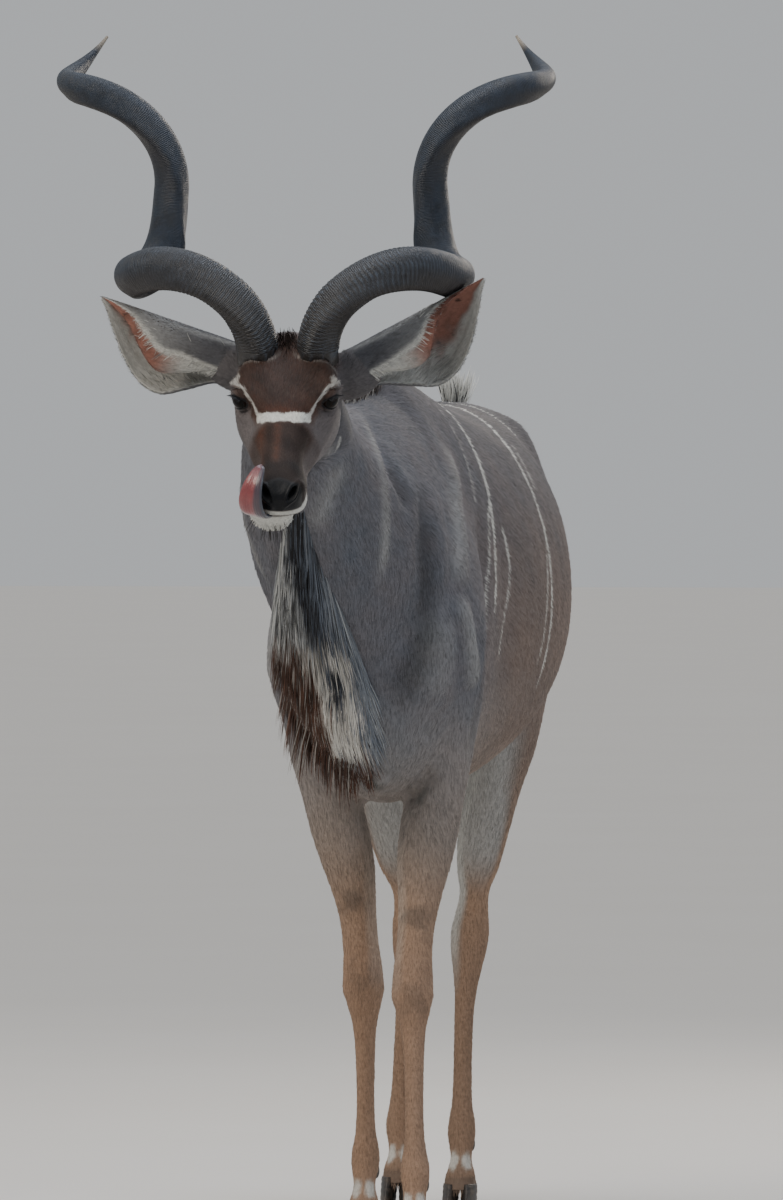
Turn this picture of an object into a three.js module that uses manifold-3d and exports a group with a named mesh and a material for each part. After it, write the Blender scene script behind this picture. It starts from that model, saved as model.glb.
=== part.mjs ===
// A greater kudu bull, life size, standing and licking its muzzle.
// Millimetres, +Z up, the animal faces -Y and its left side is +X.
// The flesh is modelled whole from lofts and then parted with thin cuts; horns, eyes and hooves are pieces of their own.

import * as THREE from "three";
import { mergeVertices } from "three/addons/utils/BufferGeometryUtils.js";
import Module from "manifold-3d";

const wasm = await Module();
wasm.setup();

// Driving sizes of the animal
const GAP = 0.3; // width of each parting cut
const SLIVER = 0.08; // edges shorter than this are closed up after the joins
const ELBOW_CUT = 728; // height of the cut between chest and forearm
const THIGH_CUT = 812; // height of the cut between rump and hind leg
const KNEE_CUT = 395; // below the knee
const HOCK_CUT = 425; // below the hock
const CORONET = 52; // top of the hooves
const NECK_CUT = -55; // the neck's node reaches back to here, breast and throat mane with it
const HEAD_PITCH = THREE.MathUtils.degToRad(31); // the face slopes down this much
const HEAD_YAW = THREE.MathUtils.degToRad(4.5); // and turns a little to the animal's left
const HORN_YAW = THREE.MathUtils.degToRad(3);
const POLL = new THREE.Vector3(-78, -470, 1468); // where the skull's axis starts, between the ears
const EYE = { x: 66, y: -171, z: 40, r: 19 }; // in the head's own frame
const JAW_SHIFT = -15; // the lower jaw slides to the animal's right as it licks
const HORN_STEPS = 48;
const HORN_SIDES = 10;

const X = new THREE.Vector3(1, 0, 0);
const Y = new THREE.Vector3(0, 1, 0);
const Z = new THREE.Vector3(0, 0, 1);
const at = (x, y, z) => new THREE.Vector3(x, y, z);

// Solids

function solidOf(geometry) {
  const corners = new Float32Array(geometry.attributes.position.array);
  const faces = new Uint32Array(geometry.index.array);
  const build = () => new wasm.Manifold(new wasm.Mesh({ numProp: 3, vertProperties: corners, triVerts: faces }));
  const made = build();
  if (made.volume() > 0) return made;
  for (let i = 0; i < faces.length; i += 3) [faces[i + 1], faces[i + 2]] = [faces[i + 2], faces[i + 1]];
  return build();
}

// A three.js primitive as a solid, with its doubled corners merged, moved by a matrix.
function primitive(geometry, matrix) {
  geometry.deleteAttribute("normal");
  geometry.deleteAttribute("uv");
  geometry.applyMatrix4(matrix);
  return solidOf(mergeVertices(geometry, 1e-3));
}

function ellipsoid(centre, radii, turn = new THREE.Euler(), detail = 16) {
  const place = new THREE.Matrix4().compose(centre, new THREE.Quaternion().setFromEuler(turn), at(...radii));
  return primitive(new THREE.SphereGeometry(1, detail, Math.max(6, detail >> 1)), place);
}

function block(low, high) {
  const size = high.clone().sub(low);
  const middle = high.clone().add(low).multiplyScalar(0.5);
  return primitive(
    new THREE.BoxGeometry(size.x, size.y, size.z),
    new THREE.Matrix4().setPosition(middle.x, middle.y, middle.z),
  );
}

// Half of space as a large block, on the side that normal points to, starting a little beyond the point.
function halfSpace(point, normal, start = GAP / 2) {
  const reach = 3000;
  const turn = new THREE.Quaternion().setFromUnitVectors(Z, normal.clone().normalize());
  const centre = point.clone().addScaledVector(normal.clone().normalize(), reach / 2 + start);
  return primitive(
    new THREE.BoxGeometry(2 * reach, 2 * reach, reach),
    new THREE.Matrix4().compose(centre, turn, at(1, 1, 1)),
  );
}

const joined = (...solids) => solids.flat().reduce((a, b) => a.add(b));

// The largest closed body of a solid, with a sealed hollow filled.
function largest(solid) {
  return solid.decompose().reduce((a, b) => (b.volume() > a.volume() ? b : a));
}

const moved = (solid, matrix) => solid.transform(Array.from(matrix.elements));

// Even numbers from 0 to 1 in a fixed order, for the variation of the locks
let seed = 20731;
const chance = () => (seed = (seed * 16807) % 2147483647) / 2147483647;
const spread = (amount) => amount * (2 * chance() - 1);

// Lofts

// A point of a table of stations, a share t of the way through its rows, on a smooth curve.
function along(rows, t) {
  const last = rows.length - 1;
  const k = Math.min(Math.floor(t * last), last - 1);
  const u = t * last - k;
  const [a, b, c, d] = [k - 1, k, k + 1, k + 2].map((i) => rows[Math.max(0, Math.min(last, i))]);
  return b.map((_, i) => {
    const slopeB = (c[i] - a[i]) / 2;
    const slopeC = (d[i] - b[i]) / 2;
    const rise = c[i] - b[i];
    return b[i] + u * (slopeB + u * (3 * rise - 2 * slopeB - slopeC + u * (slopeB + slopeC - 2 * rise)));
  });
}

const bent = (value, power) => Math.sign(value) * Math.abs(value) ** (2 / power);

// A closed ring round a centre: half its width to each side, and its reach up and down, each with its own fullness.
function ring(centre, side, up, [half, rise, drop, fullTop, fullLow], sides) {
  return Array.from({ length: sides }, (_, j) => {
    const angle = (2 * Math.PI * j) / sides;
    const [c, s] = [Math.cos(angle), Math.sin(angle)];
    const full = s >= 0 ? fullTop : fullLow;
    const reach = s >= 0 ? rise : drop;
    return centre
      .clone()
      .addScaledVector(side, half * bent(c, full))
      .addScaledVector(up, reach * bent(s, full));
  });
}

function loft(rings) {
  const sides = rings[0].length;
  const points = rings.flat();
  const faces = [];
  for (let i = 0; i + 1 < rings.length; i++)
    for (let j = 0; j < sides; j++) {
      const [a, b] = [i * sides + j, i * sides + ((j + 1) % sides)];
      faces.push(a, b, b + sides, a, b + sides, a + sides);
    }
  for (const [first, turned] of [
    [0, true],
    [(rings.length - 1) * sides, false],
  ]) {
    const middle = points.length;
    const sum = at(0, 0, 0);
    for (let j = 0; j < sides; j++) sum.add(points[first + j]);
    points.push(sum.divideScalar(sides));
    for (let j = 0; j < sides; j++) {
      const [a, b] = [first + j, first + ((j + 1) % sides)];
      faces.push(...(turned ? [b, a, middle] : [a, b, middle]));
    }
  }
  const geometry = new THREE.BufferGeometry().setFromPoints(points);
  return solidOf(geometry.setIndex(faces));
}

// Rows of [x, y, z, half, rise, drop, fullTop, fullLow], lofted with each ring in the plane of side and up.
function loftTable(rows, side, up, steps, sides) {
  return loft(
    Array.from({ length: steps + 1 }, (_, i) => {
      const [x, y, z, ...sizes] = along(rows, i / steps);
      return ring(at(x, y, z), side, up, sizes, sides);
    }),
  );
}

// Locks of long hair: flat and tapered, sunk at the root, bending along their lie

// Share of the length, and share of the width there; the last is the tip
const LOCK = [
  [-0.14, 0.75],
  [0.3, 1],
  [0.72, 0.66],
  [1, 0],
];
// A lock from root along way, its flat face towards outward, its tip carried aside by bend.
function lock(root, way, outward, length, width, thick, bend) {
  const lie = way.clone().normalize();
  const across = new THREE.Vector3().crossVectors(lie, outward).normalize();
  const face = new THREE.Vector3().crossVectors(across, lie).normalize();
  const points = LOCK.flatMap(([share, broad]) => {
    const centre = root
      .clone()
      .addScaledVector(lie, share * length)
      .addScaledVector(bend, share * Math.abs(share) * length);
    if (broad === 0) return [centre];
    const half = (width / 2) * broad;
    const flat = (thick / 2) * broad;
    return [
      centre.clone().addScaledVector(across, half),
      centre.clone().addScaledVector(face, flat),
      centre.clone().addScaledVector(across, -half),
      centre.clone().addScaledVector(face, -flat),
    ];
  });
  const faces = [2, 1, 0, 3, 2, 0];
  const tip = points.length - 1;
  for (let ring = 0; ring < LOCK.length - 1; ring++)
    for (let j = 0; j < 4; j++) {
      const [a, b] = [ring * 4 + j, ring * 4 + ((j + 1) % 4)];
      if (ring === LOCK.length - 2) faces.push(a, b, tip);
      else faces.push(a, b, b + 4, a, b + 4, a + 4);
    }
  return solidOf(new THREE.BufferGeometry().setFromPoints(points).setIndex(faces));
}

// Trunk: y, height of the widest point, half width there, top, bottom, fullness above and below
const TRUNK = [
  [-152, 1000, 30, 1050, 950, 2, 2],
  [-128, 1005, 88, 1120, 868, 2, 2],
  [-70, 1015, 128, 1230, 800, 1.9, 2],
  [0, 1025, 150, 1340, 762, 1.8, 2],
  [80, 1030, 160, 1425, 742, 1.65, 2],
  [170, 1030, 170, 1456, 737, 1.6, 2],
  [280, 1035, 190, 1446, 741, 1.75, 2],
  [420, 1045, 222, 1420, 746, 1.9, 2],
  [560, 1055, 245, 1404, 753, 2, 2.05],
  [680, 1065, 254, 1400, 766, 2.05, 2.05],
  [800, 1080, 244, 1402, 790, 2.15, 2.05],
  [900, 1095, 222, 1406, 828, 2.3, 2],
  [1000, 1110, 196, 1405, 862, 2.4, 2],
  [1090, 1130, 178, 1395, 888, 2.4, 2],
  [1180, 1140, 156, 1366, 922, 2.3, 2],
  [1260, 1145, 122, 1318, 980, 2.1, 2],
  [1312, 1145, 76, 1258, 1040, 2, 2],
  [1336, 1145, 26, 1186, 1104, 2, 2],
];
const trunk = loftTable(
  TRUNK.map(([y, wide, half, top, low, fullTop, fullLow]) => [0, y, wide, half, top - wide, wide - low, fullTop, fullLow]),
  X,
  Z,
  22,
  24,
);

// Share of the way through the table where the trunk is at y
function trunkShare(y) {
  const k = Math.max(1, TRUNK.findIndex(([place]) => place >= y));
  return (k - 1 + (y - TRUNK[k - 1][0]) / (TRUNK[k][0] - TRUNK[k - 1][0])) / (TRUNK.length - 1);
}

// Neck: x, then the nape's and the throat's y and z, half width, fullness of nape and throat
const NECK = [
  [-4, 130, 1432, -60, 850, 140, 1.7, 2],
  [-27, 0, 1416, -130, 925, 150, 1.7, 2],
  [-48, -110, 1408, -205, 1008, 135, 1.75, 2],
  [-68, -220, 1414, -285, 1085, 117, 1.8, 1.9],
  [-76, -320, 1436, -355, 1160, 101, 1.9, 1.8],
  [-74, -410, 1474, -425, 1228, 88, 2, 1.8],
  [-70, -480, 1504, -480, 1285, 74, 2, 1.9],
];
const neckRow = ([x, napeY, napeZ, throatY, throatZ, ...rest]) => ({
  centre: at(x, (napeY + throatY) / 2, (napeZ + throatZ) / 2),
  up: at(0, napeY - throatY, napeZ - throatZ),
  rest,
});
function neckSection(t) {
  const { centre, up, rest } = neckRow(along(NECK, t));
  const reach = up.length() / 2;
  return { centre, up: up.normalize(), reach, sizes: [rest[0], reach, reach, rest[1], rest[2]] };
}
const neck = loft(
  Array.from({ length: 11 }, (_, i) => {
    const { centre, up, sizes } = neckSection(i / 10);
    return ring(centre, X, up, sizes, 20);
  }),
);

// Legs: sizes by height as [z, half width, reach forward, reach back], the same left and right
const FORELEG = [
  [1392, 10, 30, 30],
  [1330, 24, 66, 70],
  [1240, 44, 104, 112],
  [1150, 57, 124, 135],
  [1060, 60, 128, 142],
  [980, 61, 108, 128],
  [900, 59, 84, 104],
  [830, 56, 66, 82],
  [780, 54, 58, 62],
  [700, 49, 47, 50],
  [640, 42, 40, 43],
  [590, 36, 35, 38],
  [540, 32, 31, 33],
  [495, 32, 32, 31],
  [460, 35, 35, 31],
  [430, 35, 36, 33],
  [400, 30, 31, 34],
  [370, 23, 24, 27],
  [330, 19.5, 21, 24],
  [250, 17.5, 19, 24],
  [190, 19, 20, 26],
  [160, 24, 23, 31],
  [138, 26, 24, 32],
  [112, 24, 23, 26],
  [88, 23, 24, 22],
  [64, 28, 31, 25],
  [40, 29, 36, 25],
];
const HINDLEG = [
  [1310, 26, 70, 60],
  [1240, 58, 145, 125],
  [1150, 70, 178, 160],
  [1050, 72, 175, 168],
  [970, 71, 166, 158],
  [905, 67, 146, 142],
  [845, 60, 116, 120],
  [780, 54, 88, 95],
  [710, 48, 64, 73],
  [650, 43, 46, 56],
  [595, 37, 36, 46],
  [552, 27, 28, 45],
  [515, 31, 30, 50],
  [488, 35, 33, 44],
  [455, 33, 32, 37],
  [415, 26, 27, 31],
  [370, 20, 23, 27],
  [310, 18.5, 21, 25],
  [240, 18.5, 20, 25],
  [190, 20, 21, 27],
  [160, 24.5, 23, 31],
  [138, 26, 24, 32],
  [112, 24, 23, 26],
  [88, 23, 24, 22],
  [64, 28, 31, 25],
  [40, 29, 36, 25],
];

// Each leg's own line as [z, x, y] through its joints, from the photographed stance
const LINES = {
  foreleg_left: [
    [1392, 40, 205],
    [1290, 76, 160],
    [1150, 106, 100],
    [980, 120, 68],
    [830, 102, 92],
    [700, 84, 75],
    [590, 72, 42],
    [500, 65, 16],
    [430, 65, -5],
    [335, 70, -30],
    [160, 77, -74],
    [100, 79, -92],
    [40, 80, -112],
  ],
  foreleg_right: [
    [1392, -40, 205],
    [1290, -76, 160],
    [1150, -108, 100],
    [980, -127, 70],
    [830, -104, 104],
    [700, -75, 135],
    [600, -54, 155],
    [500, -44, 180],
    [440, -42, 198],
    [335, -42, 222],
    [160, -46, 262],
    [100, -48, 262],
    [40, -48, 248],
  ],
  hindleg_left: [
    [1310, 82, 1095],
    [1150, 108, 1085],
    [970, 114, 1055],
    [845, 102, 1038],
    [710, 72, 1058],
    [595, 49, 1080],
    [515, 37, 1090],
    [440, 32, 1076],
    [335, 27, 1058],
    [160, 25, 1044],
    [100, 25, 1034],
    [40, 25, 1016],
  ],
  hindleg_right: [
    [1310, -84, 1095],
    [1150, -110, 1088],
    [970, -122, 1072],
    [845, -122, 1070],
    [710, -114, 1115],
    [595, -98, 1170],
    [515, -84, 1208],
    [440, -86, 1216],
    [335, -95, 1218],
    [160, -104, 1226],
    [100, -105, 1220],
    [40, -105, 1202],
  ],
};

// The x and y of a leg's line at a height, smoothly through its joints.
function lineAt(line, z) {
  const k = Math.max(0, Math.min(line.length - 2, line.filter(([height]) => height >= z).length - 1));
  const top = line[k];
  const low = line[k + 1];
  const u = THREE.MathUtils.clamp((top[0] - z) / (top[0] - low[0]), 0, 1);
  return along(line, (k + u) / (line.length - 1)).slice(1);
}

function legLoft(name, table, sides) {
  const rows = table.map(([z, half, front, back]) => {
    const [x, y] = lineAt(LINES[name], z);
    return [x, y, z, half, front, back, 2, 2];
  });
  return loftTable(rows, X, Y.clone().negate(), rows.length, sides);
}

// One claw of a hoof: sizes by height as [z, y shift, half width, reach forward, reach back]
const CLAW = [
  [0, -14, 13, 50, 28],
  [12, -11, 13.6, 47, 29],
  [34, -4, 14, 38, 29],
  [54, 2, 14, 31, 28],
  [72, 6, 13, 26, 24],
];
const CLAW_SPREAD = 14.6; // from the foot's middle to the claw's middle
function claw(x, y, side) {
  const rows = CLAW.map(([z, shift, half, front, back]) => [
    x + side * (CLAW_SPREAD + (72 - z) * 0.03),
    y + shift,
    z,
    half,
    front,
    back,
    1.55,
    2,
  ]);
  return loftTable(rows, X, Y.clone().negate(), 4, 10);
}

// Two small dewclaws stand out behind each fetlock.
function dewclaws([x, y]) {
  return [-1, 1].map((side) => ellipsoid(at(x + side * 15, y + 30, 118), [8, 10, 16], new THREE.Euler(0.5, 0, 0), 6));
}

// Head, in its own level frame: faces -Y, its axis starts at the poll
// y, height of the widest point, half width there, top, bottom, fullness above and below
const SKULL = [
  [-430, 0, 14, 9, -12, 2, 2],
  [-423, -2, 27, 19, -26, 2.1, 2.1],
  [-410, -5, 36, 28, -52, 2.4, 2.3],
  [-393, -8, 41, 33, -70, 2.4, 2.3],
  [-372, -10, 42, 36, -77, 2.4, 2.2],
  [-342, -10, 39, 38, -70, 2.3, 2.1],
  [-308, -8, 40, 41, -64, 2.2, 2],
  [-270, -6, 48, 46, -68, 2.2, 2],
  [-230, 0, 60, 53, -79, 2.3, 2],
  [-190, 8, 73, 63, -92, 2.6, 2.1],
  [-150, 12, 82, 73, -103, 3, 2.3],
  [-110, 10, 85, 80, -107, 3, 2.4],
  [-70, 6, 82, 83, -100, 2.8, 2.3],
  [-30, 6, 72, 78, -78, 2.3, 2],
  [2, 8, 58, 64, -46, 2, 2],
  [28, 10, 34, 40, -16, 2, 2],
];
// Forms on the skull: y, degrees up from the side, how far they stand out, spread along and round
const FACE = [
  [-168, 29, 21, 26, 19], // orbit
  [-140, 52, 9, 34, 15], // brow
  [-120, 90, -8, 46, 13], // dip between the brows
  [-212, 20, -6, 22, 18], // hollow before the eye
  [-218, -8, 5, 52, 9], // cheekbone
  [-104, -34, 6, 50, 24], // jaw muscle
  [-300, 12, -4, 44, 22], // side of the muzzle
  [-404, 34, 7, 16, 20], // wing of the nostril
  [-414, 88, -3, 10, 14], // dip of the nose pad
];
const headFrame = new THREE.Matrix4()
  .makeRotationFromEuler(new THREE.Euler(HEAD_PITCH, 0, HEAD_YAW, "ZXY"))
  .setPosition(POLL);
const inHead = (solid) => moved(solid, headFrame);
const headPoint = (x, y, z) => at(x, y, z).applyMatrix4(headFrame);
const headWay = (x, y, z) => at(x, y, z).transformDirection(headFrame);

function skullRing(t, sides) {
  const [y, wide, half, top, low, fullTop, fullLow] = along(SKULL, t);
  return ring(at(0, y, wide), X, Z, [half, top - wide, wide - low, fullTop, fullLow], sides).map((p, j) => {
    const round = (360 * j) / sides;
    const degrees = round > 270 ? round - 360 : round > 90 ? 180 - round : round;
    const out = at(p.x, 0, p.z - wide).normalize();
    const stand = FACE.reduce(
      (sum, [formY, angle, amount, alongY, about]) =>
        sum + amount * Math.exp(-(((y - formY) / alongY) ** 2) - ((degrees - angle) / about) ** 2),
      0,
    );
    return p.addScaledVector(out, stand);
  });
}
const SKULL_RINGS = 27;
const skull = inHead(loft(Array.from({ length: SKULL_RINGS + 1 }, (_, i) => skullRing(i / SKULL_RINGS, 24))));

function eyeball(side, extra = 0) {
  const r = EYE.r + extra;
  return inHead(ellipsoid(at(side * EYE.x, EYE.y, EYE.z), [r, r, r], new THREE.Euler(), 12));
}
// The way each eye looks, and the almond opening of its lids
const eyeTurn = (side) => new THREE.Euler(0.06, side * 0.12, side * 0.92, "ZYX");
function lidOpening(side) {
  const forward = at(0, -1, 0).applyEuler(eyeTurn(side));
  const place = at(side * EYE.x, EYE.y, EYE.z).addScaledVector(forward, EYE.r);
  return inHead(ellipsoid(place, [18, 14, 12.5], eyeTurn(side), 14));
}

// Nostrils: comma-shaped hollows at the corners of the nose pad
const nostrils = [-1, 1].map((side) =>
  inHead(ellipsoid(at(side * 23, -429, 11), [8, 17, 8], new THREE.Euler(0.15, side * 0.5, side * 0.5), 12)),
);

// Ears: a sheet rolled into a trumpet that opens forward and down. Its upper edge runs straight from head to tip.
// Share of the length, radius, degrees that the sheet covers from its back round to the front (left ear, right ear)
// and round below, wall
const EAR = [
  [0, 34, 160, 160, 150, 6],
  [0.14, 38, 160, 160, 150, 5.5],
  [0.3, 50, 160, 160, 146, 5],
  [0.45, 60, 143, 155, 138, 4.5],
  [0.6, 57, 102, 132, 134, 4.2],
  [0.74, 44, 78, 108, 128, 4],
  [0.87, 25, 70, 98, 118, 3.6],
  [0.96, 9, 68, 92, 105, 3],
  [1, 3, 66, 88, 100, 1.6],
];
const EAR_LENGTH = 264;
const EAR_CUT = 0.17; // share of the length where the ear meets the head's stub
const EAR_EDGES = {
  left: { start: at(8, -515, 1486), way: at(0.835, 0.23, 0.455) },
  right: { start: at(-146, -503, 1499), way: at(-0.91, 0.23, 0.3) },
};
function earSheet(side) {
  const { start, way } = side > 0 ? EAR_EDGES.left : EAR_EDGES.right;
  way.normalize();
  const down = Z.clone().negate().addScaledVector(way, way.z).normalize();
  const front = new THREE.Vector3().crossVectors(way, down);
  if (front.y > 0) front.negate();
  const count = 10;
  const rings = Array.from({ length: 14 }, (_, i) => {
    const [share, radius, leftFront, rightFront, toLow, wall] = along(EAR, i / 13);
    const toFront = side > 0 ? leftFront : rightFront;
    const middle = start
      .clone()
      .addScaledVector(way, share * EAR_LENGTH)
      .addScaledVector(down, radius);
    const arc = (r) =>
      Array.from({ length: count + 1 }, (_, j) => {
        const angle = THREE.MathUtils.degToRad(135 - toFront + ((toFront + toLow) * j) / count);
        return middle
          .clone()
          .addScaledVector(front, r * 0.8 * Math.cos(angle))
          .addScaledVector(down, -r * Math.sin(angle));
      });
    return [...arc(radius), ...arc(Math.max(radius - wall, radius * 0.45)).reverse()];
  });
  const cut = { point: start.clone().addScaledVector(way, EAR_CUT * EAR_LENGTH), way };
  const bulbAt = start.clone().addScaledVector(way, 4).addScaledVector(down, 38);
  const turn = new THREE.Matrix4().makeBasis(way, new THREE.Vector3().crossVectors(down, way), down);
  const bulb = primitive(new THREE.SphereGeometry(1, 12, 8), turn.scale(at(58, 33, 41)).setPosition(bulbAt));
  return { solid: joined(loft(rings), bulb), cut };
}

// Horns: an open spiral about an axis that leans back and out
const HORN = {
  turn: [-190, 468], // degrees of the spiral at base and tip
  out: [145.8, 281, -66], // axis: start, run and bend to the side
  back: [0, 460], // axis: start and run to the rear
  up: [-10.8, 562, -68], // axis: start, run and bend upward
  spiral: [100, 102, 35, 70], // radius of the spiral
  girth: [36, 34.5, 33, 32, 31.5, 31, 29, 26.5, 22, 14.5, 2.2], // radius of the horn from base to tip
  keel: 0.2, // how far the front keel stands out
  tuck: 43, // the first curl swings out this much less than the spiral
  lean: 40, // the base leans back this far more than the spiral
};
const bezier = ([a, b, c, d], t) =>
  a * (1 - t) ** 3 + 3 * b * t * (1 - t) ** 2 + 3 * c * t * t * (1 - t) + d * t ** 3;

class HornCurve extends THREE.Curve {
  constructor(side) {
    super();
    this.side = side;
    this.axis = at(HORN.out[1] + HORN.out[2], HORN.back[1], HORN.up[1]).normalize();
    this.outward = X.clone().addScaledVector(this.axis, -this.axis.x).normalize();
    this.forward = new THREE.Vector3().crossVectors(this.outward, this.axis);
    if (this.forward.y > 0) this.forward.negate();
    this.start = this.spiral(0);
    this.root = headPoint(side * 49, -72, 74);
  }
  spiral(t) {
    const turn = THREE.MathUtils.degToRad(HORN.turn[0] + (HORN.turn[1] - HORN.turn[0]) * t);
    const radius = bezier(HORN.spiral, t);
    const tuck = THREE.MathUtils.smoothstep(t, 0.08, 0.27) * (1 - THREE.MathUtils.smoothstep(t, 0.36, 0.52));
    return at(
      HORN.out[0] + HORN.out[1] * t + HORN.out[2] * t * t - HORN.tuck * tuck,
      HORN.back[0] + HORN.back[1] * t + HORN.lean * THREE.MathUtils.smoothstep(t, 0, 0.22),
      HORN.up[0] + HORN.up[1] * t + HORN.up[2] * t * (1 - t),
    )
      .addScaledVector(this.outward, radius * Math.cos(turn))
      .addScaledVector(this.forward, -radius * Math.sin(turn));
  }
  getPoint(t) {
    const p = this.spiral(Math.max(t, 0)).sub(this.start);
    p.x *= this.side;
    return p.applyAxisAngle(Z, HORN_YAW).add(this.root);
  }
}

function horn(side, extra = 0) {
  const curve = new HornCurve(side);
  const axis = curve.axis.clone();
  axis.x *= side;
  const rings = Array.from({ length: HORN_STEPS + 1 }, (_, i) => {
    const t = i / HORN_STEPS;
    const centre = curve.getPointAt(t);
    const way = curve.getTangentAt(Math.min(Math.max(t, 0.004), 0.996));
    if (i === 0) centre.addScaledVector(way, -22);
    const keel = axis.clone().negate();
    keel.addScaledVector(way, -keel.dot(way)).normalize();
    const side2 = new THREE.Vector3().crossVectors(way, keel);
    const radius = along(HORN.girth.map((r) => [r]), t)[0] + extra;
    return Array.from({ length: HORN_SIDES }, (_, j) => {
      const angle = (2 * Math.PI * j) / HORN_SIDES;
      const r = radius * (1 + HORN.keel * Math.max(0, Math.cos(angle)) ** 8);
      return centre
        .clone()
        .addScaledVector(keel, r * Math.cos(angle))
        .addScaledVector(side2, r * 0.94 * Math.sin(angle));
    });
  });
  return { solid: loft(rings), root: curve.getPointAt(0.022), way: curve.getTangentAt(0.02) };
}

// Tongue: [x, y, z, half width, half thickness] in the head's frame, from inside the mouth up over the muzzle
const TONGUE = [
  [-10, -366, -30, 15, 5.5],
  [-20, -390, -30, 19, 6],
  [-31, -411, -28, 21, 6],
  [-41, -429, -15, 22, 6],
  [-45, -434, 6, 21, 5.5],
  [-43, -430, 26, 18, 5],
  [-37, -418, 42, 14, 4.4],
  [-31, -403, 50, 9, 3.4],
  [-28, -393, 51, 3, 1.8],
];
const TONGUE_SIDE = new THREE.Vector3(0.9, -0.42, 0).normalize();
function tongueLoft(extra) {
  const steps = 12;
  const centre = (t) => at(...along(TONGUE, t).slice(0, 3));
  return inHead(
    loft(
      Array.from({ length: steps + 1 }, (_, i) => {
        const t = i / steps;
        const [, , , half, thick] = along(TONGUE, t);
        const way = centre(Math.min(1, t + 0.02)).sub(centre(Math.max(0, t - 0.02))).normalize();
        const side = TONGUE_SIDE.clone().addScaledVector(way, -TONGUE_SIDE.dot(way)).normalize();
        const up = new THREE.Vector3().crossVectors(side, way);
        return ring(centre(t), side, up, [half + extra, thick + extra, thick + extra, 2.3, 2.3], 10);
      }),
    ),
  );
}

// Tail: [x, y, z, half, rise, drop, fullTop, fullLow], hanging behind the rump
const TAIL = [
  [0, 1268, 1300, 26, 26, 26, 2, 2],
  [0, 1318, 1268, 22, 22, 22, 2, 2],
  [0, 1364, 1212, 18, 16, 13, 2, 2],
  [2, 1378, 1130, 20, 13, 14, 2, 2],
  [4, 1382, 1050, 22, 12, 14, 2, 2],
  [6, 1380, 970, 21, 12, 14, 2, 2],
  [8, 1374, 905, 15, 10, 12, 2, 2],
  [9, 1370, 860, 5, 4, 5, 2, 2],
];
const TAIL_TURNS = [0.95, 0.9, 0.45, 0.12, 0.02, 0, -0.05, -0.05]; // turn of each ring out of the level
const tailPoint = (t) => at(...along(TAIL, t).slice(0, 3));
const tailLoft = loft(
  Array.from({ length: 13 }, (_, i) => {
    const t = i / 12;
    const sizes = along(TAIL, t).slice(3);
    const turn = along(TAIL_TURNS.map((a) => [a]), t)[0];
    return ring(tailPoint(t), X, at(0, Math.cos(turn), Math.sin(turn)), sizes, 12);
  }),
);
// Its tuft: locks round the lower half, and a fringe down each edge
const tailLocks = Array.from({ length: 16 }, (_, i) => {
  const t = 0.5 + 0.46 * (i / 15);
  const turn = i * 2.4;
  const out = at(Math.sin(turn), 0.75 * Math.abs(Math.cos(turn)) + 0.1, 0).normalize();
  const point = tailPoint(t).addScaledVector(out, 7);
  const way = at(out.x * 0.3 + spread(0.05), out.y * 0.2, -1);
  return lock(point, way, out, 92 * (0.85 + 0.3 * chance()), 26, 10, at(-out.x * 0.15, 0, 0));
});
const tail = joined(tailLoft, tailLocks);

// The throat mane: a narrow core under the neck and breast, hung with long locks
const neckSkin = (t, degrees) => {
  const { centre, up, sizes } = neckSection(t);
  const angle = THREE.MathUtils.degToRad(degrees);
  const out = at(0, 0, 0)
    .addScaledVector(X, sizes[0] * bent(Math.cos(angle), sizes[4]))
    .addScaledVector(up, sizes[1] * bent(Math.sin(angle), sizes[4]));
  return { point: centre.clone().add(out), out: out.normalize() };
};
// Share along the neck, length and breadth of the locks there, and the degrees round the neck that they take
const MANE = [
  [0.9, 66, 36, 26],
  [0.79, 98, 42, 36],
  [0.68, 130, 46, 52],
  [0.57, 156, 50, 66],
  [0.46, 172, 54, 78],
  [0.36, 180, 56, 84],
  [0.26, 178, 54, 80],
  [0.17, 170, 50, 70],
];
const MANE_COLUMNS = [-1, -0.5, 0, 0.5, 1];
const maneLocks = MANE.flatMap(([t, length, broad, wide], row) =>
  MANE_COLUMNS.map((column) => {
    const middle = 1 - Math.abs(column);
    const turn = -90 + (column * wide) / 2 + (row % 2 ? 5 : -5) + spread(4);
    const { point, out } = neckSkin(t + spread(0.02), turn);
    const way = at(spread(0.08) - 0.12 * out.x, 0.3 + 0.1 * middle, -1);
    const reach = length * (0.62 + 0.38 * middle) * (0.88 + 0.24 * chance());
    const bend = at(0.1 + spread(0.1) - out.x * 0.12, 0.1, -0.05);
    return lock(point.addScaledVector(out, -7), way, out, reach, broad * (0.85 + 0.3 * chance()), 15, bend);
  }),
);

// The short upright mane on the nape, in the middle and to each side
const NAPE = Array.from({ length: 9 }, (_, i) => 0.9 - i * 0.085);
const napeLocks = NAPE.flatMap((t) =>
  [82, 98].map((degrees) => {
    const { centre, up, sizes } = neckSection(t + spread(0.012));
    const angle = THREE.MathUtils.degToRad(degrees);
    const out = at(0, 0, 0)
      .addScaledVector(X, sizes[0] * bent(Math.cos(angle), sizes[3]))
      .addScaledVector(up, sizes[1] * bent(Math.sin(angle), sizes[3]));
    const point = centre.clone().add(out).addScaledVector(up, -9);
    const way = at(spread(0.1) + Math.cos(angle) * 0.6, 0.8, 0.85);
    return lock(point, way, X, 58 * (0.85 + 0.3 * chance()), 40, 10, at(spread(0.1), 0.15, -0.1));
  }),
);

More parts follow.
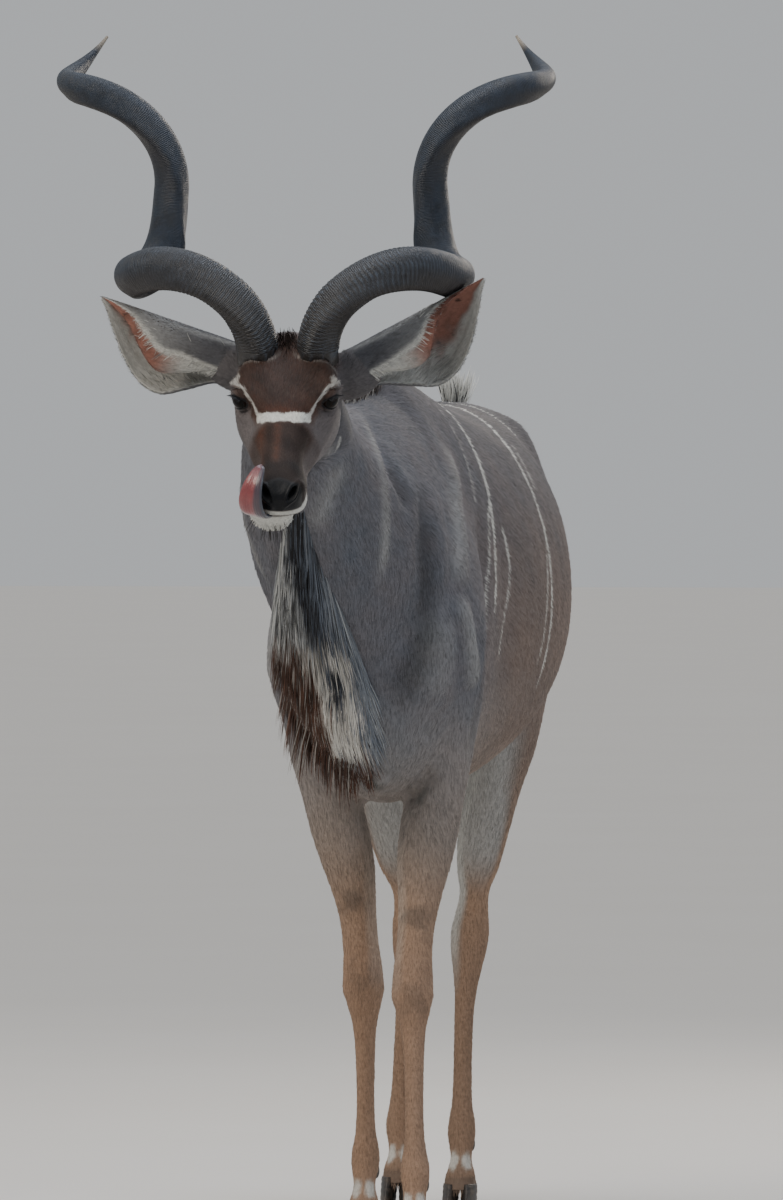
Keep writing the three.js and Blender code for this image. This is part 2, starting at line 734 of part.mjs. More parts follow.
// The crest along the back: short locks that lie backward over one another
const crestLocks = Array.from({ length: 17 }, (_, i) => {
  const y = -22 + i * 66;
  const top = along(TRUNK, trunkShare(y))[3];
  const tall = y < 320 ? 56 : 40;
  const point = at((i % 2 ? 4 : -4) + spread(2), y, top - 9);
  return lock(point, at(spread(0.12), 1, 0.42), X, tall * (0.9 + 0.25 * chance()), 30, 9, at(spread(0.1), 0.1, -0.12));
});
// A tuft of it stands up over the loins, a little to the left.
const loinLocks = [-1, 0, 1].map((k) =>
  lock(at(16 + 7 * k, 1000 + 22 * k, 1392), at(0.22 + 0.1 * k, 0.1, 1), X, 78 - 9 * Math.abs(k), 30, 10, at(0.1, 0.12 * k, -0.05)),
);

// Sheath and scrotum
const sheath = ellipsoid(at(0, 700, 770), [24, 90, 34], new THREE.Euler(0.2, 0, 0), 12);
const scrotum = ellipsoid(at(0, 985, 838), [40, 42, 62], new THREE.Euler(-0.15, 0, 0), 12);

// The whole flesh, then the cuts
const earLeft = earSheet(1);
const earRight = earSheet(-1);
const hornLeft = horn(1);
const hornRight = horn(-1);
const hornRoom = joined(horn(1, 2).solid, horn(-1, 2).solid);

const legs = {
  foreleg_left: legLoft("foreleg_left", FORELEG, 10),
  foreleg_right: legLoft("foreleg_right", FORELEG, 10),
  hindleg_left: legLoft("hindleg_left", HINDLEG, 10),
  hindleg_right: legLoft("hindleg_right", HINDLEG, 10),
};

const neckCut = { point: at(0, NECK_CUT, 1100), way: Y.clone().negate() };
const headCut = { point: headPoint(0, 22, -20), way: headWay(0, -0.93, 0.366) };
const tailCut = { point: at(0, 1350, 1236), way: at(0, 0.62, -0.78).normalize() };

const before = (cut) => halfSpace(cut.point, cut.way);
const behind = (cut) => halfSpace(cut.point, cut.way.clone().negate());

const trunkFlesh = joined(trunk, Object.values(legs), sheath, scrotum);
const neckFlesh = joined(neck, trunk, maneLocks, napeLocks);

// Head: cut from the neck, with sockets, nostrils, mouth line and room for the tongue
const hornCut = (h) => ({ point: h.root, way: h.way });
const tongueRoom = tongueLoft(GAP);
const mouthCorner = headPoint(0, -322, -28);
const jawSpace = (start) =>
  halfSpace(mouthCorner, headWay(0, 0, -1), start).intersect(halfSpace(mouthCorner, headWay(0, -0.8, -0.6), start));

let head = joined(
  skull,
  neckFlesh.intersect(before(headCut)),
  earLeft.solid.intersect(behind(earLeft.cut)),
  earRight.solid.intersect(behind(earRight.cut)),
  hornLeft.solid.intersect(behind(hornCut(hornLeft))),
  hornRight.solid.intersect(behind(hornCut(hornRight))),
).intersect(before(headCut));
for (const side of [-1, 1]) head = head.subtract(lidOpening(side)).subtract(eyeball(side, GAP));
for (const n of nostrils) head = head.subtract(n);
const lowerJaw = moved(
  head.intersect(jawSpace(GAP / 2)),
  new THREE.Matrix4().setPosition(headWay(1, 0, 0).multiplyScalar(JAW_SHIFT)),
).subtract(tongueRoom);
head = head.subtract(jawSpace(-GAP / 2)).subtract(tongueRoom);

const nodes = {
  head: largest(head),
  lower_jaw: largest(lowerJaw),
  tongue: tongueLoft(0),
  eye_left: eyeball(1),
  eye_right: eyeball(-1),
  ear_left: largest(earLeft.solid.intersect(before(earLeft.cut)).subtract(hornRoom).subtract(head)),
  ear_right: largest(earRight.solid.intersect(before(earRight.cut)).subtract(hornRoom).subtract(head)),
  horn_left: hornLeft.solid.intersect(before(hornCut(hornLeft))),
  horn_right: hornRight.solid.intersect(before(hornCut(hornRight))),
  tail: largest(tail.intersect(before(tailCut))),
};
nodes.neck = largest(joined(neckFlesh, skull).intersect(before(neckCut)).intersect(behind(headCut)));

// Legs: each leg's own box of space below its cut, parted again at knee or hock and at the coronet
const slab = (low, high) => block(at(-500, -800, low + GAP / 2), at(500, 1700, high - GAP / 2));
let torso = joined(trunkFlesh, crestLocks, loinLocks, neck, tail.intersect(behind(tailCut))).intersect(behind(neckCut));
torso = torso
  .subtract(block(at(-500, -300, -50), at(500, 600, ELBOW_CUT + GAP / 2)))
  .subtract(block(at(-500, 600, -50), at(-1, 1700, THIGH_CUT + GAP / 2)).intersect(legs.hindleg_right))
  .subtract(block(at(1, 600, -50), at(500, 1700, THIGH_CUT + GAP / 2)).intersect(legs.hindleg_left));

for (const [name, leg] of Object.entries(legs)) {
  const fore = name.startsWith("fore");
  const [top, middle] = fore ? [ELBOW_CUT, KNEE_CUT] : [THIGH_CUT, HOCK_CUT];
  const [footX, footY] = lineAt(LINES[name], 40);
  const claws = [-1, 1].map((side) => claw(footX, footY, side));
  const whole = joined(leg, claws, dewclaws(lineAt(LINES[name], 138)));
  let upper = whole.intersect(slab(middle, top));
  if (!fore) upper = upper.subtract(trunk).subtract(scrotum);
  nodes[`${name}_upper`] = largest(upper);
  nodes[`${name}_lower`] = largest(whole.intersect(slab(CORONET, middle)));
  claws.forEach((c, i) => {
    nodes[`${name}_hoof_${i ? "b" : "a"}`] = largest(c.intersect(slab(-GAP, CORONET)));
  });
}
nodes.torso = largest(torso);

// Materials by the kind of surface
const LOOKS = {
  coat: { color: 0x6f675f, roughness: 0.85 },
  face: { color: 0x4a342a, roughness: 0.8 },
  leg: { color: 0x8a6a4c, roughness: 0.85 },
  horn: { color: 0x3b3631, roughness: 0.5 },
  hoof: { color: 0x26211d, roughness: 0.5 },
  eye: { color: 0x140d09, roughness: 0.05 },
  tongue: { color: 0xb5645e, roughness: 0.3 },
};
const looks = Object.fromEntries(
  Object.entries(LOOKS).map(([name, look]) => [name, new THREE.MeshStandardMaterial({ ...look, metalness: 0 })]),
);
function lookOf(name) {
  if (name.includes("hoof")) return looks.hoof;
  if (name.startsWith("horn")) return looks.horn;
  if (name.startsWith("eye")) return looks.eye;
  if (name === "tongue") return looks.tongue;
  if (name === "head" || name === "lower_jaw") return looks.face;
  if (name.includes("leg_")) return looks.leg;
  return looks.coat;
}

function meshOf(name, solid) {
  const { vertProperties, triVerts, numProp } = solid.asOriginal().simplify(SLIVER).getMesh();
  const corners = new Float32Array((vertProperties.length / numProp) * 3);
  for (let i = 0; i < corners.length / 3; i++) corners.set(vertProperties.subarray(i * numProp, i * numProp + 3), i * 3);
  const geometry = new THREE.BufferGeometry();
  geometry.setAttribute("position", new THREE.BufferAttribute(corners, 3));
  geometry.setIndex(new THREE.BufferAttribute(new Uint32Array(triVerts), 1));
  const mesh = new THREE.Mesh(geometry, lookOf(name));
  mesh.name = name;
  return mesh;
}

const kudu = new THREE.Group();
for (const [name, solid] of Object.entries(nodes)) kudu.add(meshOf(name, solid));

// The origin is on the floor, under the middle of the whole animal
const box = new THREE.Box3().setFromObject(kudu);
const middle = box.getCenter(at(0, 0, 0));
kudu.position.set(-middle.x, -middle.y, -box.min.z);

export default kudu;
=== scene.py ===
"""A greater kudu bull, life size, standing and licking its muzzle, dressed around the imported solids.

The flesh is built in millimetres from the same named sizes as the solids, as one skin with a coat of
solid tufts.
"""

import logging
import math
from collections.abc import Callable
from dataclasses import dataclass, fields
from enum import Enum

import bmesh
import bpy
import numpy as np
from mathutils.bvhtree import BVHTree
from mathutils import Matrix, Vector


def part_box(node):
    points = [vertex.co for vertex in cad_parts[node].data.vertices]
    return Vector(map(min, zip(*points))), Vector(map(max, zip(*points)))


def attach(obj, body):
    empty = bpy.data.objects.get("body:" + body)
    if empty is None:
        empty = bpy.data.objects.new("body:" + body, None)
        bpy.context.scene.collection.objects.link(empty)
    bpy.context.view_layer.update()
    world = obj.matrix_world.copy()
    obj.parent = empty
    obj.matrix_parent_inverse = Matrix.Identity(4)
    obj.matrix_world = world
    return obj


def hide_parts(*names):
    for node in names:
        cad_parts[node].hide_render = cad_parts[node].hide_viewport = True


logging.basicConfig(level=logging.INFO, format="%(message)s")
LOG = logging.getLogger("kudu")

Array = np.ndarray
MM = 0.001  # a millimetre in metres
BODY = "root"
SEED = 20731
SIDES = ((1, "left"), (-1, "right"))  # the animal's own sides, by the sign of x


class Slot(Enum):
    """The record's material slots, one passed with each piece; nothing reads them."""

    HIDE = "hide"
    HORN = "horn"
    HOOF = "hoof"
    EYE = "eye"
    TONGUE = "tongue"


# Numbers and curves


def step(low: float, high: float, value: Array) -> Array:
    """A smooth rise from 0 at low to 1 at high."""
    u = np.clip((np.asarray(value, float) - low) / (high - low), 0, 1)
    return u * u * (3 - 2 * u)


def bell(value: Array, middle: float, spread: float) -> Array:
    """A rounded bump of height 1 at middle, as wide as spread to each side."""
    return np.exp(-(((value - middle) / spread) ** 2))


def along(rows: Array, share: Array) -> Array:
    """Rows of a table of stations, at shares of the way through it, on a smooth curve.

    Args:
        rows: The table, one station a row.
        share: Shares from 0 to 1.

    Returns:
        One row for each share.
    """
    rows = np.asarray(rows, float)
    last = len(rows) - 1
    place = np.clip(np.atleast_1d(share), 0, 1) * last
    k = np.minimum(place.astype(int), last - 1)
    u = (place - k)[:, None]
    a, b, c, d = (rows[np.clip(k + i, 0, last)] for i in (-1, 0, 1, 2))
    slope_b, slope_c, rise = (c - a) / 2, (d - b) / 2, c - b
    return b + u * (slope_b + u * (3 * rise - 2 * slope_b - slope_c + u * (slope_b + slope_c - 2 * rise)))


def unit(vectors: Array) -> Array:
    """Vectors at length 1."""
    vectors = np.asarray(vectors, float)
    return vectors / np.maximum(np.linalg.norm(vectors, axis=-1, keepdims=True), 1e-9)


def turn(axis: str, angle: float) -> Array:
    """The matrix that turns by an angle in radians about the x, y or z axis."""
    c, s = math.cos(angle), math.sin(angle)
    i, j = {"x": (1, 2), "y": (2, 0), "z": (0, 1)}[axis]
    matrix = np.eye(3)
    matrix[i, i] = matrix[j, j] = c
    matrix[i, j], matrix[j, i] = -s, s
    return matrix


def wobble(points: Array, size: float, seed: int, waves: int = 7) -> Array:
    """Smooth uneven numbers over space, about -1 to 1.

    Args:
        points: Places in millimetres.
        size: Rough size of a patch in millimetres.
        seed: Which pattern.
        waves: How many waves are summed.

    Returns:
        One number for each point.
    """
    rng = np.random.default_rng(seed)
    ways = unit(rng.normal(size=(waves, 3))) * rng.uniform(0.6, 1.7, (waves, 1)) * math.pi / size
    return np.sin(points @ ways.T + rng.uniform(0, 6.28, waves)).sum(1) / math.sqrt(waves)


def polyline_gap(points: Array, line: Array, facing: Array | None = None) -> tuple[Array, Array]:
    """How far points are from a line through corners.

    Args:
        points: Places, one a row.
        line: The corners of the line, with as many numbers a row as the points.
        facing: Where given, how far the line runs over or under the surface there hardly counts.

    Returns:
        The distance of each point, and the share along the line of the nearest place on it.
    """
    line = np.asarray(line, float)
    best = np.full(len(points), 1e9)
    share = np.zeros(len(points))
    for i, (a, b) in enumerate(zip(line[:-1], line[1:])):
        run = b - a
        u = np.clip((points - a) @ run / max(float(run @ run), 1e-9), 0, 1)
        offset = points - a - u[:, None] * run
        if facing is not None:
            offset = offset - 0.85 * facing * (offset * facing).sum(1)[:, None]
        gap = np.linalg.norm(offset, axis=1)
        nearer = gap < best
        best = np.where(nearer, gap, best)
        share = np.where(nearer, (i + u) / (len(line) - 1), share)
    return best, share


def blend(a: Array, b: Array, weight: Array) -> Array:
    """Rows of a moved to rows of b by a weight each."""
    return a + (b - a) * np.asarray(weight)[:, None]


def to_left_half(ways: Array, x: Array) -> Array:
    """Directions at places, mirrored where the place is on the animal's right."""
    return np.where((x < 0)[:, None], ways * [-1, 1, 1], ways)


# Meshes


@dataclass
class Shape:
    """A mesh in the making: its corners in millimetres, and faces as arrays of corner numbers."""

    points: Array
    faces: list[Array]

    @staticmethod
    def joined(shapes: "list[Shape]") -> "Shape":
        """Several shapes as one.

        Args:
            shapes: The shapes, which are left as they are.

        Returns:
            One shape with all their corners and faces.
        """
        start = np.cumsum([0] + [len(s.points) for s in shapes])
        faces = [f + start[i] for i, s in enumerate(shapes) for f in s.faces]
        return Shape(np.concatenate([s.points for s in shapes]), faces)

    def turned_out(self) -> "Shape":
        """The shape with every face looking outward."""
        volume = 0.0
        for block in self.faces:
            for k in range(1, block.shape[1] - 1):
                a, b, c = (self.points[block[:, i]] for i in (0, k, k + 1))
                volume += float((a * np.cross(b, c)).sum())
        return Shape(self.points, [block[:, ::-1] for block in self.faces]) if volume < 0 else self

    def obj(self, name: str) -> bpy.types.Object:
        """A smooth Blender object of this shape, set on the frame's place.

        Args:
            name: The piece's name.

        Returns:
            The new object, in metres.
        """
        mesh = bpy.data.meshes.new(name)
        corners = np.concatenate([f.ravel() for f in self.faces]).astype(np.int32)
        sizes = np.concatenate([np.full(len(f), f.shape[1]) for f in self.faces])
        mesh.vertices.add(len(self.points))
        mesh.vertices.foreach_set("co", ((self.points + SHIFT) * MM).astype(np.float32).ravel())
        mesh.loops.add(len(corners))
        mesh.loops.foreach_set("vertex_index", corners)
        mesh.polygons.add(len(sizes))
        mesh.polygons.foreach_set("loop_start", (np.cumsum(sizes) - sizes).astype(np.int32))
        mesh.update(calc_edges=True)
        mesh.shade_smooth()
        return show(name, mesh)


def show(name: str, data: bpy.types.ID) -> bpy.types.Object:
    """Puts a mesh, lamp or camera in the scene."""
    made = bpy.data.objects.new(name, data)
    bpy.context.scene.collection.objects.link(made)
    return made


def read(items: bpy.types.bpy_prop_collection, name: str, width: int, kind: type = np.int32) -> Array:
    """Numbers of all corners, edges or faces of a mesh, one row each."""
    flat = np.empty(len(items) * width, kind)
    items.foreach_get(name, flat)
    return flat.reshape(-1, width)


def points_of(piece: bpy.types.Object) -> Array:
    """The corners of an object, in the model's millimetres."""
    return read(piece.data.vertices, "co", 3, np.float32) / MM - SHIFT


def set_points(piece: bpy.types.Object, points: Array) -> None:
    """Moves the corners of an object to places in the model's millimetres."""
    piece.data.vertices.foreach_set("co", ((points + SHIFT) * MM).astype(np.float32).ravel())
    piece.data.update()


def normals_of(piece: bpy.types.Object) -> Array:
    """The direction that the surface faces at each corner of an object."""
    return read(piece.data.vertices, "normal", 3, np.float32).astype(float)


def paint(piece: bpy.types.Object, name: str, colours: Array) -> None:
    """Keeps four numbers for each corner of an object, for its material to read."""
    layer = piece.data.attributes.new(name, "FLOAT_COLOR", "POINT")
    layer.data.foreach_set("color", colours.astype(np.float32).ravel())


def grid(rows: int, sides: int) -> Array:
    """Faces of a grid of corners, row after row, round into a tube."""
    i, j = np.meshgrid(np.arange(rows - 1), np.arange(sides), indexing="ij")
    a, b = i * sides + j, i * sides + (j + 1) % sides
    return np.stack([a, b, b + sides, a + sides], -1).reshape(-1, 4)


def loft(rings: Array) -> Shape:
    """A closed tube through rings, with a fan over each end.

    Args:
        rings: Places by ring and side.

    Returns:
        The tube.
    """
    count, sides = rings.shape[:2]
    points = np.concatenate([rings.reshape(-1, 3), rings[[0, -1]].mean(1)])
    j = np.arange(sides)
    k = (j + 1) % sides
    last = (count - 1) * sides
    first_fan = np.stack([k, j, np.full(sides, count * sides)], 1)
    last_fan = np.stack([last + j, last + k, np.full(sides, count * sides + 1)], 1)
    return Shape(points, [grid(count, sides), first_fan, last_fan])


def loft_marks(*numbers: Array, ends: list) -> Array:
    """Three numbers by ring and side, as a row for each corner of a loft, and one for each of its ends."""
    return np.concatenate([np.stack(np.broadcast_arrays(*numbers), -1).reshape(-1, 3), ends])


def bent(value: Array, power: Array) -> Array:
    """A sine or cosine made fuller or leaner."""
    return np.sign(value) * np.abs(value) ** (2 / power)


def rings(
    centre: Array, side: Array, up: Array, sizes: Array, sides: int, stand: Array | None = None
) -> Array:
    """Rings round centres, each with its own reach and fullness above and below.

    Args:
        centre: Centre of each ring.
        side: Direction of its width.
        up: Direction of its height.
        sizes: Half width, rise, drop, fullness above, fullness below.
        sides: Corners of each ring.
        stand: How far each corner stands out from the plain ring.

    Returns:
        Places by ring and side.
    """
    angle = 2 * math.pi * np.arange(sides) / sides
    c, s = np.cos(angle)[None], np.sin(angle)[None]
    half, rise, drop, full_top, full_low = (sizes[:, i : i + 1] for i in range(5))
    full = np.where(s >= 0, full_top, full_low)
    across = half * bent(c, full)
    high = np.where(s >= 0, rise, drop) * bent(s, full)
    if stand is not None:
        length = np.maximum(np.hypot(across, high), 1e-6)
        across, high = across * (1 + stand / length), high * (1 + stand / length)
    side, up = np.broadcast_to(side, centre.shape), np.broadcast_to(up, centre.shape)
    return centre[:, None] + across[..., None] * side[:, None] + high[..., None] * up[:, None]


def forms(table: list[tuple], station: Array, sides: int) -> Array:
    """How far a table of forms stands out from rings, alike on both sides of the animal.

    Args:
        table: Rows of station, degrees up from the side, amount, spread along and spread round.
        station: Where each ring is.
        sides: Corners of each ring.

    Returns:
        Amounts by ring and side.
    """
    round_ = 360 * np.arange(sides) / sides
    degrees = np.where(round_ > 270, round_ - 360, np.where(round_ > 90, 180 - round_, round_))
    stand = np.zeros((len(station), sides))
    for place, angle, amount, run, about in table:
        stand += amount * bell(station, place, run)[:, None] * bell(degrees, angle, about)[None]
    return stand


def ball(centre: Array, radii: tuple, matrix: Array, detail: int = 24) -> Shape:
    """An ellipsoid.

    Args:
        centre: Its middle.
        radii: Its three radii.
        matrix: How it is turned.
        detail: Sides round it.

    Returns:
        The closed shape.
    """
    angle = np.linspace(0.06, math.pi - 0.06, detail // 2)
    level = np.stack([np.zeros_like(angle), np.zeros_like(angle), np.cos(angle)], 1)
    sizes = np.stack([np.sin(angle)] * 3 + [np.full_like(angle, 2)] * 2, 1)
    shape = loft(rings(level, np.array([1.0, 0, 0]), np.array([0, 1.0, 0]), sizes, detail))
    shape.points = (shape.points * radii) @ matrix.T + centre
    return shape


X, Y, Z = np.eye(3)

# Driving sizes of the animal, as the solids have them

HEAD_PITCH = math.radians(31)
HEAD_YAW = math.radians(4.5)
HORN_YAW = math.radians(3)
POLL = np.array([-78.0, -470.0, 1468.0])
HEAD_TURN = turn("z", HEAD_YAW) @ turn("x", HEAD_PITCH)
EYE = np.array([66.0, -171.0, 40.0])
EYE_RADIUS = 19.0


def head_point(points: Array) -> Array:
    """Places in the head's own level frame, as places on the animal."""
    return np.asarray(points, float) @ HEAD_TURN.T + POLL


def in_head(points: Array) -> Array:
    """Places on the animal, in the head's own level frame."""
    return (points - POLL) @ HEAD_TURN


def head_way(ways: Array) -> Array:
    """Directions in the head's frame, as directions on the animal."""
    return np.asarray(ways, float) @ HEAD_TURN.T


def frame_shift() -> Array:
    """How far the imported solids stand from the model's own millimetres, read off the middle of an eye."""
    low, high = (np.array(corner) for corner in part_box("eye_left"))
    return (low + high) / 2 / MM - head_point(EYE)


# Trunk: y, height of the widest point, half width, top, bottom, fullness above and below
TRUNK = np.array([
    [-152, 1000, 30, 1050, 950, 2, 2], [-128, 1005, 88, 1120, 868, 2, 2],
    [-70, 1015, 128, 1230, 800, 1.9, 2], [0, 1025, 150, 1340, 762, 1.8, 2],
    [80, 1030, 160, 1425, 742, 1.65, 2], [170, 1030, 170, 1456, 737, 1.6, 2],
    [280, 1035, 190, 1446, 741, 1.75, 2], [420, 1045, 222, 1420, 746, 1.9, 2],
    [560, 1055, 245, 1404, 753, 2, 2.05], [680, 1065, 254, 1400, 766, 2.05, 2.05],
    [800, 1080, 244, 1402, 790, 2.15, 2.05], [900, 1095, 222, 1406, 828, 2.3, 2],
    [1000, 1110, 196, 1405, 862, 2.4, 2], [1090, 1130, 178, 1395, 888, 2.4, 2],
    [1180, 1140, 156, 1366, 922, 2.3, 2], [1260, 1145, 122, 1318, 980, 2.1, 2],
    [1312, 1145, 76, 1258, 1040, 2, 2], [1336, 1145, 26, 1186, 1104, 2, 2],
])
# Muscle and bone under the skin: y, degrees up from the side, amount, spread along, spread round
TRUNK_FORMS = [
    (120, 42, 7, 34, 26),  # spine of the shoulder blade
    (215, 30, -5, 40, 26),
    (-30, -12, 9, 52, 20),  # point of the shoulder
    (165, -22, 9, 80, 22),  # triceps
    (305, -4, -9, 46, 40),  # hollow behind the shoulder
    (60, 8, -5, 26, 26),
    (880, 34, -12, 52, 24),  # hollow of the flank
    (965, 52, 12, 34, 13),  # point of the hip
    (1075, 2, 8, 90, 36),  # thigh
    (960, -18, -7, 40, 20),
    (1230, 30, 6, 40, 18),  # seat bone
    (600, -74, 5, 140, 14),
]
RIBS = (400, 800, 52, 0.8)  # from y, to y, spacing, how far each stands out

# Neck: x, then the nape's and the throat's y and z, half width, fullness of nape and throat
NECK = np.array([
    [-4, 130, 1432, -60, 850, 140, 1.7, 2], [-27, 0, 1416, -130, 925, 150, 1.7, 2],
    [-48, -110, 1408, -205, 1008, 135, 1.75, 2], [-68, -220, 1414, -285, 1085, 117, 1.8, 1.9],
    [-76, -320, 1436, -355, 1160, 101, 1.9, 1.8], [-74, -410, 1474, -425, 1228, 88, 2, 1.8],
    [-70, -480, 1504, -480, 1285, 74, 2, 1.9],
])
NECK_FORMS = [
    (0.55, -38, -7, 0.3, 14),  # groove of the windpipe
    (0.45, 8, 5, 0.3, 20),
    (0.2, -18, 7, 0.14, 18),
    (0.3, 42, -4, 0.25, 14),
    (0.85, -14, 4, 0.12, 24),
]

FORELEG = np.array([
    [1392, 10, 30, 30], [1330, 24, 66, 70], [1240, 44, 104, 112], [1150, 57, 124, 135],
    [1060, 60, 128, 142], [980, 61, 108, 128], [900, 59, 84, 104], [830, 56, 66, 82], [780, 54, 58, 62],
    [700, 49, 47, 50], [640, 42, 40, 43], [590, 36, 35, 38], [540, 32, 31, 33], [495, 32, 32, 31],
    [460, 35, 35, 31], [430, 35, 36, 33], [400, 30, 31, 34], [370, 23, 24, 27], [330, 19.5, 21, 24],
    [250, 17.5, 19, 24], [190, 19, 20, 26], [160, 24, 23, 31], [138, 26, 24, 32], [112, 24, 23, 26],
    [88, 23, 24, 22], [64, 28, 31, 25], [40, 29, 36, 25],
])
HINDLEG = np.array([
    [1310, 26, 70, 60], [1240, 58, 145, 125], [1150, 70, 178, 160], [1050, 72, 175, 168],
    [970, 71, 166, 158], [905, 67, 146, 142], [845, 60, 116, 120], [780, 54, 88, 95], [710, 48, 64, 73],
    [650, 43, 46, 56], [595, 37, 36, 46], [552, 27, 28, 45], [515, 31, 30, 50], [488, 35, 33, 44],
    [455, 33, 32, 37], [415, 26, 27, 31], [370, 20, 23, 27], [310, 18.5, 21, 25], [240, 18.5, 20, 25],
    [190, 20, 21, 27], [160, 24.5, 23, 31], [138, 26, 24, 32], [112, 24, 23, 26], [88, 23, 24, 22],
    [64, 28, 31, 25], [40, 29, 36, 25],
])
# Forms on a leg: height, degrees from the side towards the front, amount, spread along, spread round
FORELEG_FORMS = [
    (452, 90, 4, 26, 34),  # knee cap
    (472, -82, 8, 16, 24),  # bone behind the knee
    (425, 20, 3, 14, 26),
    (270, -22, -4, 110, 15),  # groove between bone and tendon
    (270, 90, 2, 110, 30),
    (650, 20, 6, 70, 34),  # forearm
    (690, -60, 4, 60, 22),
    (770, -80, 12, 34, 24),  # elbow
    (150, -84, 5, 20, 26),  # back of the fetlock
    (100, 0, -3, 20, 40),
]
HINDLEG_FORMS = [
    (620, -38, -8, 55, 16),  # hollow before the hamstring
    (660, 30, 5, 60, 30),
    (545, -88, 8, 16, 24),  # point of the hock
    (490, 70, 4, 22, 34),
    (500, -20, -3, 26, 16),
    (270, -22, -4, 110, 15),
    (150, -84, 5, 20, 26),
    (100, 0, -3, 20, 40),
    (800, -10, 6, 70, 34),
]
# Each leg's own line through its joints as z, x, y
LINES = {
    "foreleg_left": np.array([
        [1392, 40, 205], [1290, 76, 160], [1150, 106, 100], [980, 120, 68], [830, 102, 92],
        [700, 84, 75], [590, 72, 42], [500, 65, 16], [430, 65, -5], [335, 70, -30], [160, 77, -74],
        [100, 79, -92], [40, 80, -112],
    ]),
    "foreleg_right": np.array([
        [1392, -40, 205], [1290, -76, 160], [1150, -108, 100], [980, -127, 70], [830, -104, 104],
        [700, -75, 135], [600, -54, 155], [500, -44, 180], [440, -42, 198], [335, -42, 222],
        [160, -46, 262], [100, -48, 262], [40, -48, 248],
    ]),
    "hindleg_left": np.array([
        [1310, 82, 1095], [1150, 108, 1085], [970, 114, 1055], [845, 102, 1038], [710, 72, 1058],
        [595, 49, 1080], [515, 37, 1090], [440, 32, 1076], [335, 27, 1058], [160, 25, 1044],
        [100, 25, 1034], [40, 25, 1016],
    ]),
    "hindleg_right": np.array([
        [1310, -84, 1095], [1150, -110, 1088], [970, -122, 1072], [845, -122, 1070], [710, -114, 1115],
        [595, -98, 1170], [515, -84, 1208], [440, -86, 1216], [335, -95, 1218], [160, -104, 1226],
        [100, -105, 1220], [40, -105, 1202],
    ]),
}
# A claw of a hoof: z, y shift, half width, reach forward, reach back
CLAW = np.array([
    [0, -14, 13, 50, 28], [12, -11, 13.6, 47, 29], [34, -4, 14, 38, 29], [54, 2, 14, 31, 28],
    [72, 6, 13, 26, 24],
])
CLAW_SPREAD = 14.6

# Skull, in the head's frame, with the same columns as the trunk
SKULL = np.array([
    [-430, 0, 14, 9, -12, 2, 2], [-423, -2, 27, 19, -26, 2.1, 2.1], [-410, -5, 36, 28, -52, 2.4, 2.3],
    [-393, -8, 41, 33, -70, 2.4, 2.3], [-372, -10, 42, 36, -77, 2.4, 2.2],
    [-342, -10, 39, 38, -70, 2.3, 2.1], [-308, -8, 40, 41, -64, 2.2, 2], [-270, -6, 48, 46, -68, 2.2, 2],
    [-230, 0, 60, 53, -79, 2.3, 2], [-190, 8, 73, 63, -92, 2.6, 2.1], [-150, 12, 82, 73, -103, 3, 2.3],
    [-110, 10, 85, 80, -107, 3, 2.4], [-70, 6, 82, 83, -100, 2.8, 2.3], [-30, 6, 72, 78, -78, 2.3, 2],
    [2, 8, 58, 64, -46, 2, 2], [28, 10, 34, 40, -16, 2, 2],
])
FACE_FORMS = [
    (-168, 29, 21, 26, 19),  # orbit
    (-140, 52, 9, 34, 15),  # brow
    (-120, 90, -8, 46, 13),  # dip between the brows
    (-212, 20, -6, 22, 18),  # hollow before the eye
    (-218, -8, 5, 52, 9),  # cheekbone
    (-104, -34, 6, 50, 24),  # jaw muscle
    (-300, 12, -4, 44, 22),  # side of the muzzle
    (-404, 34, 7, 16, 20),  # wing of the nostril
    (-414, 88, -3, 10, 14),  # dip of the nose pad
]
# Finer forms that only the skin has
FACE_DETAIL = [
    (-262, -16, 3, 30, 7),  # ridge of the cheek
    (-330, -18, 3, 34, 12),  # upper lip
    (-290, -40, -4, 36, 10),  # hollow along the jaw
    (-372, 66, 2, 26, 14),
    (-236, 64, 3, 20, 12),  # inner brow
    (-120, 6, -4, 22, 16),
]


# Parts of the flesh


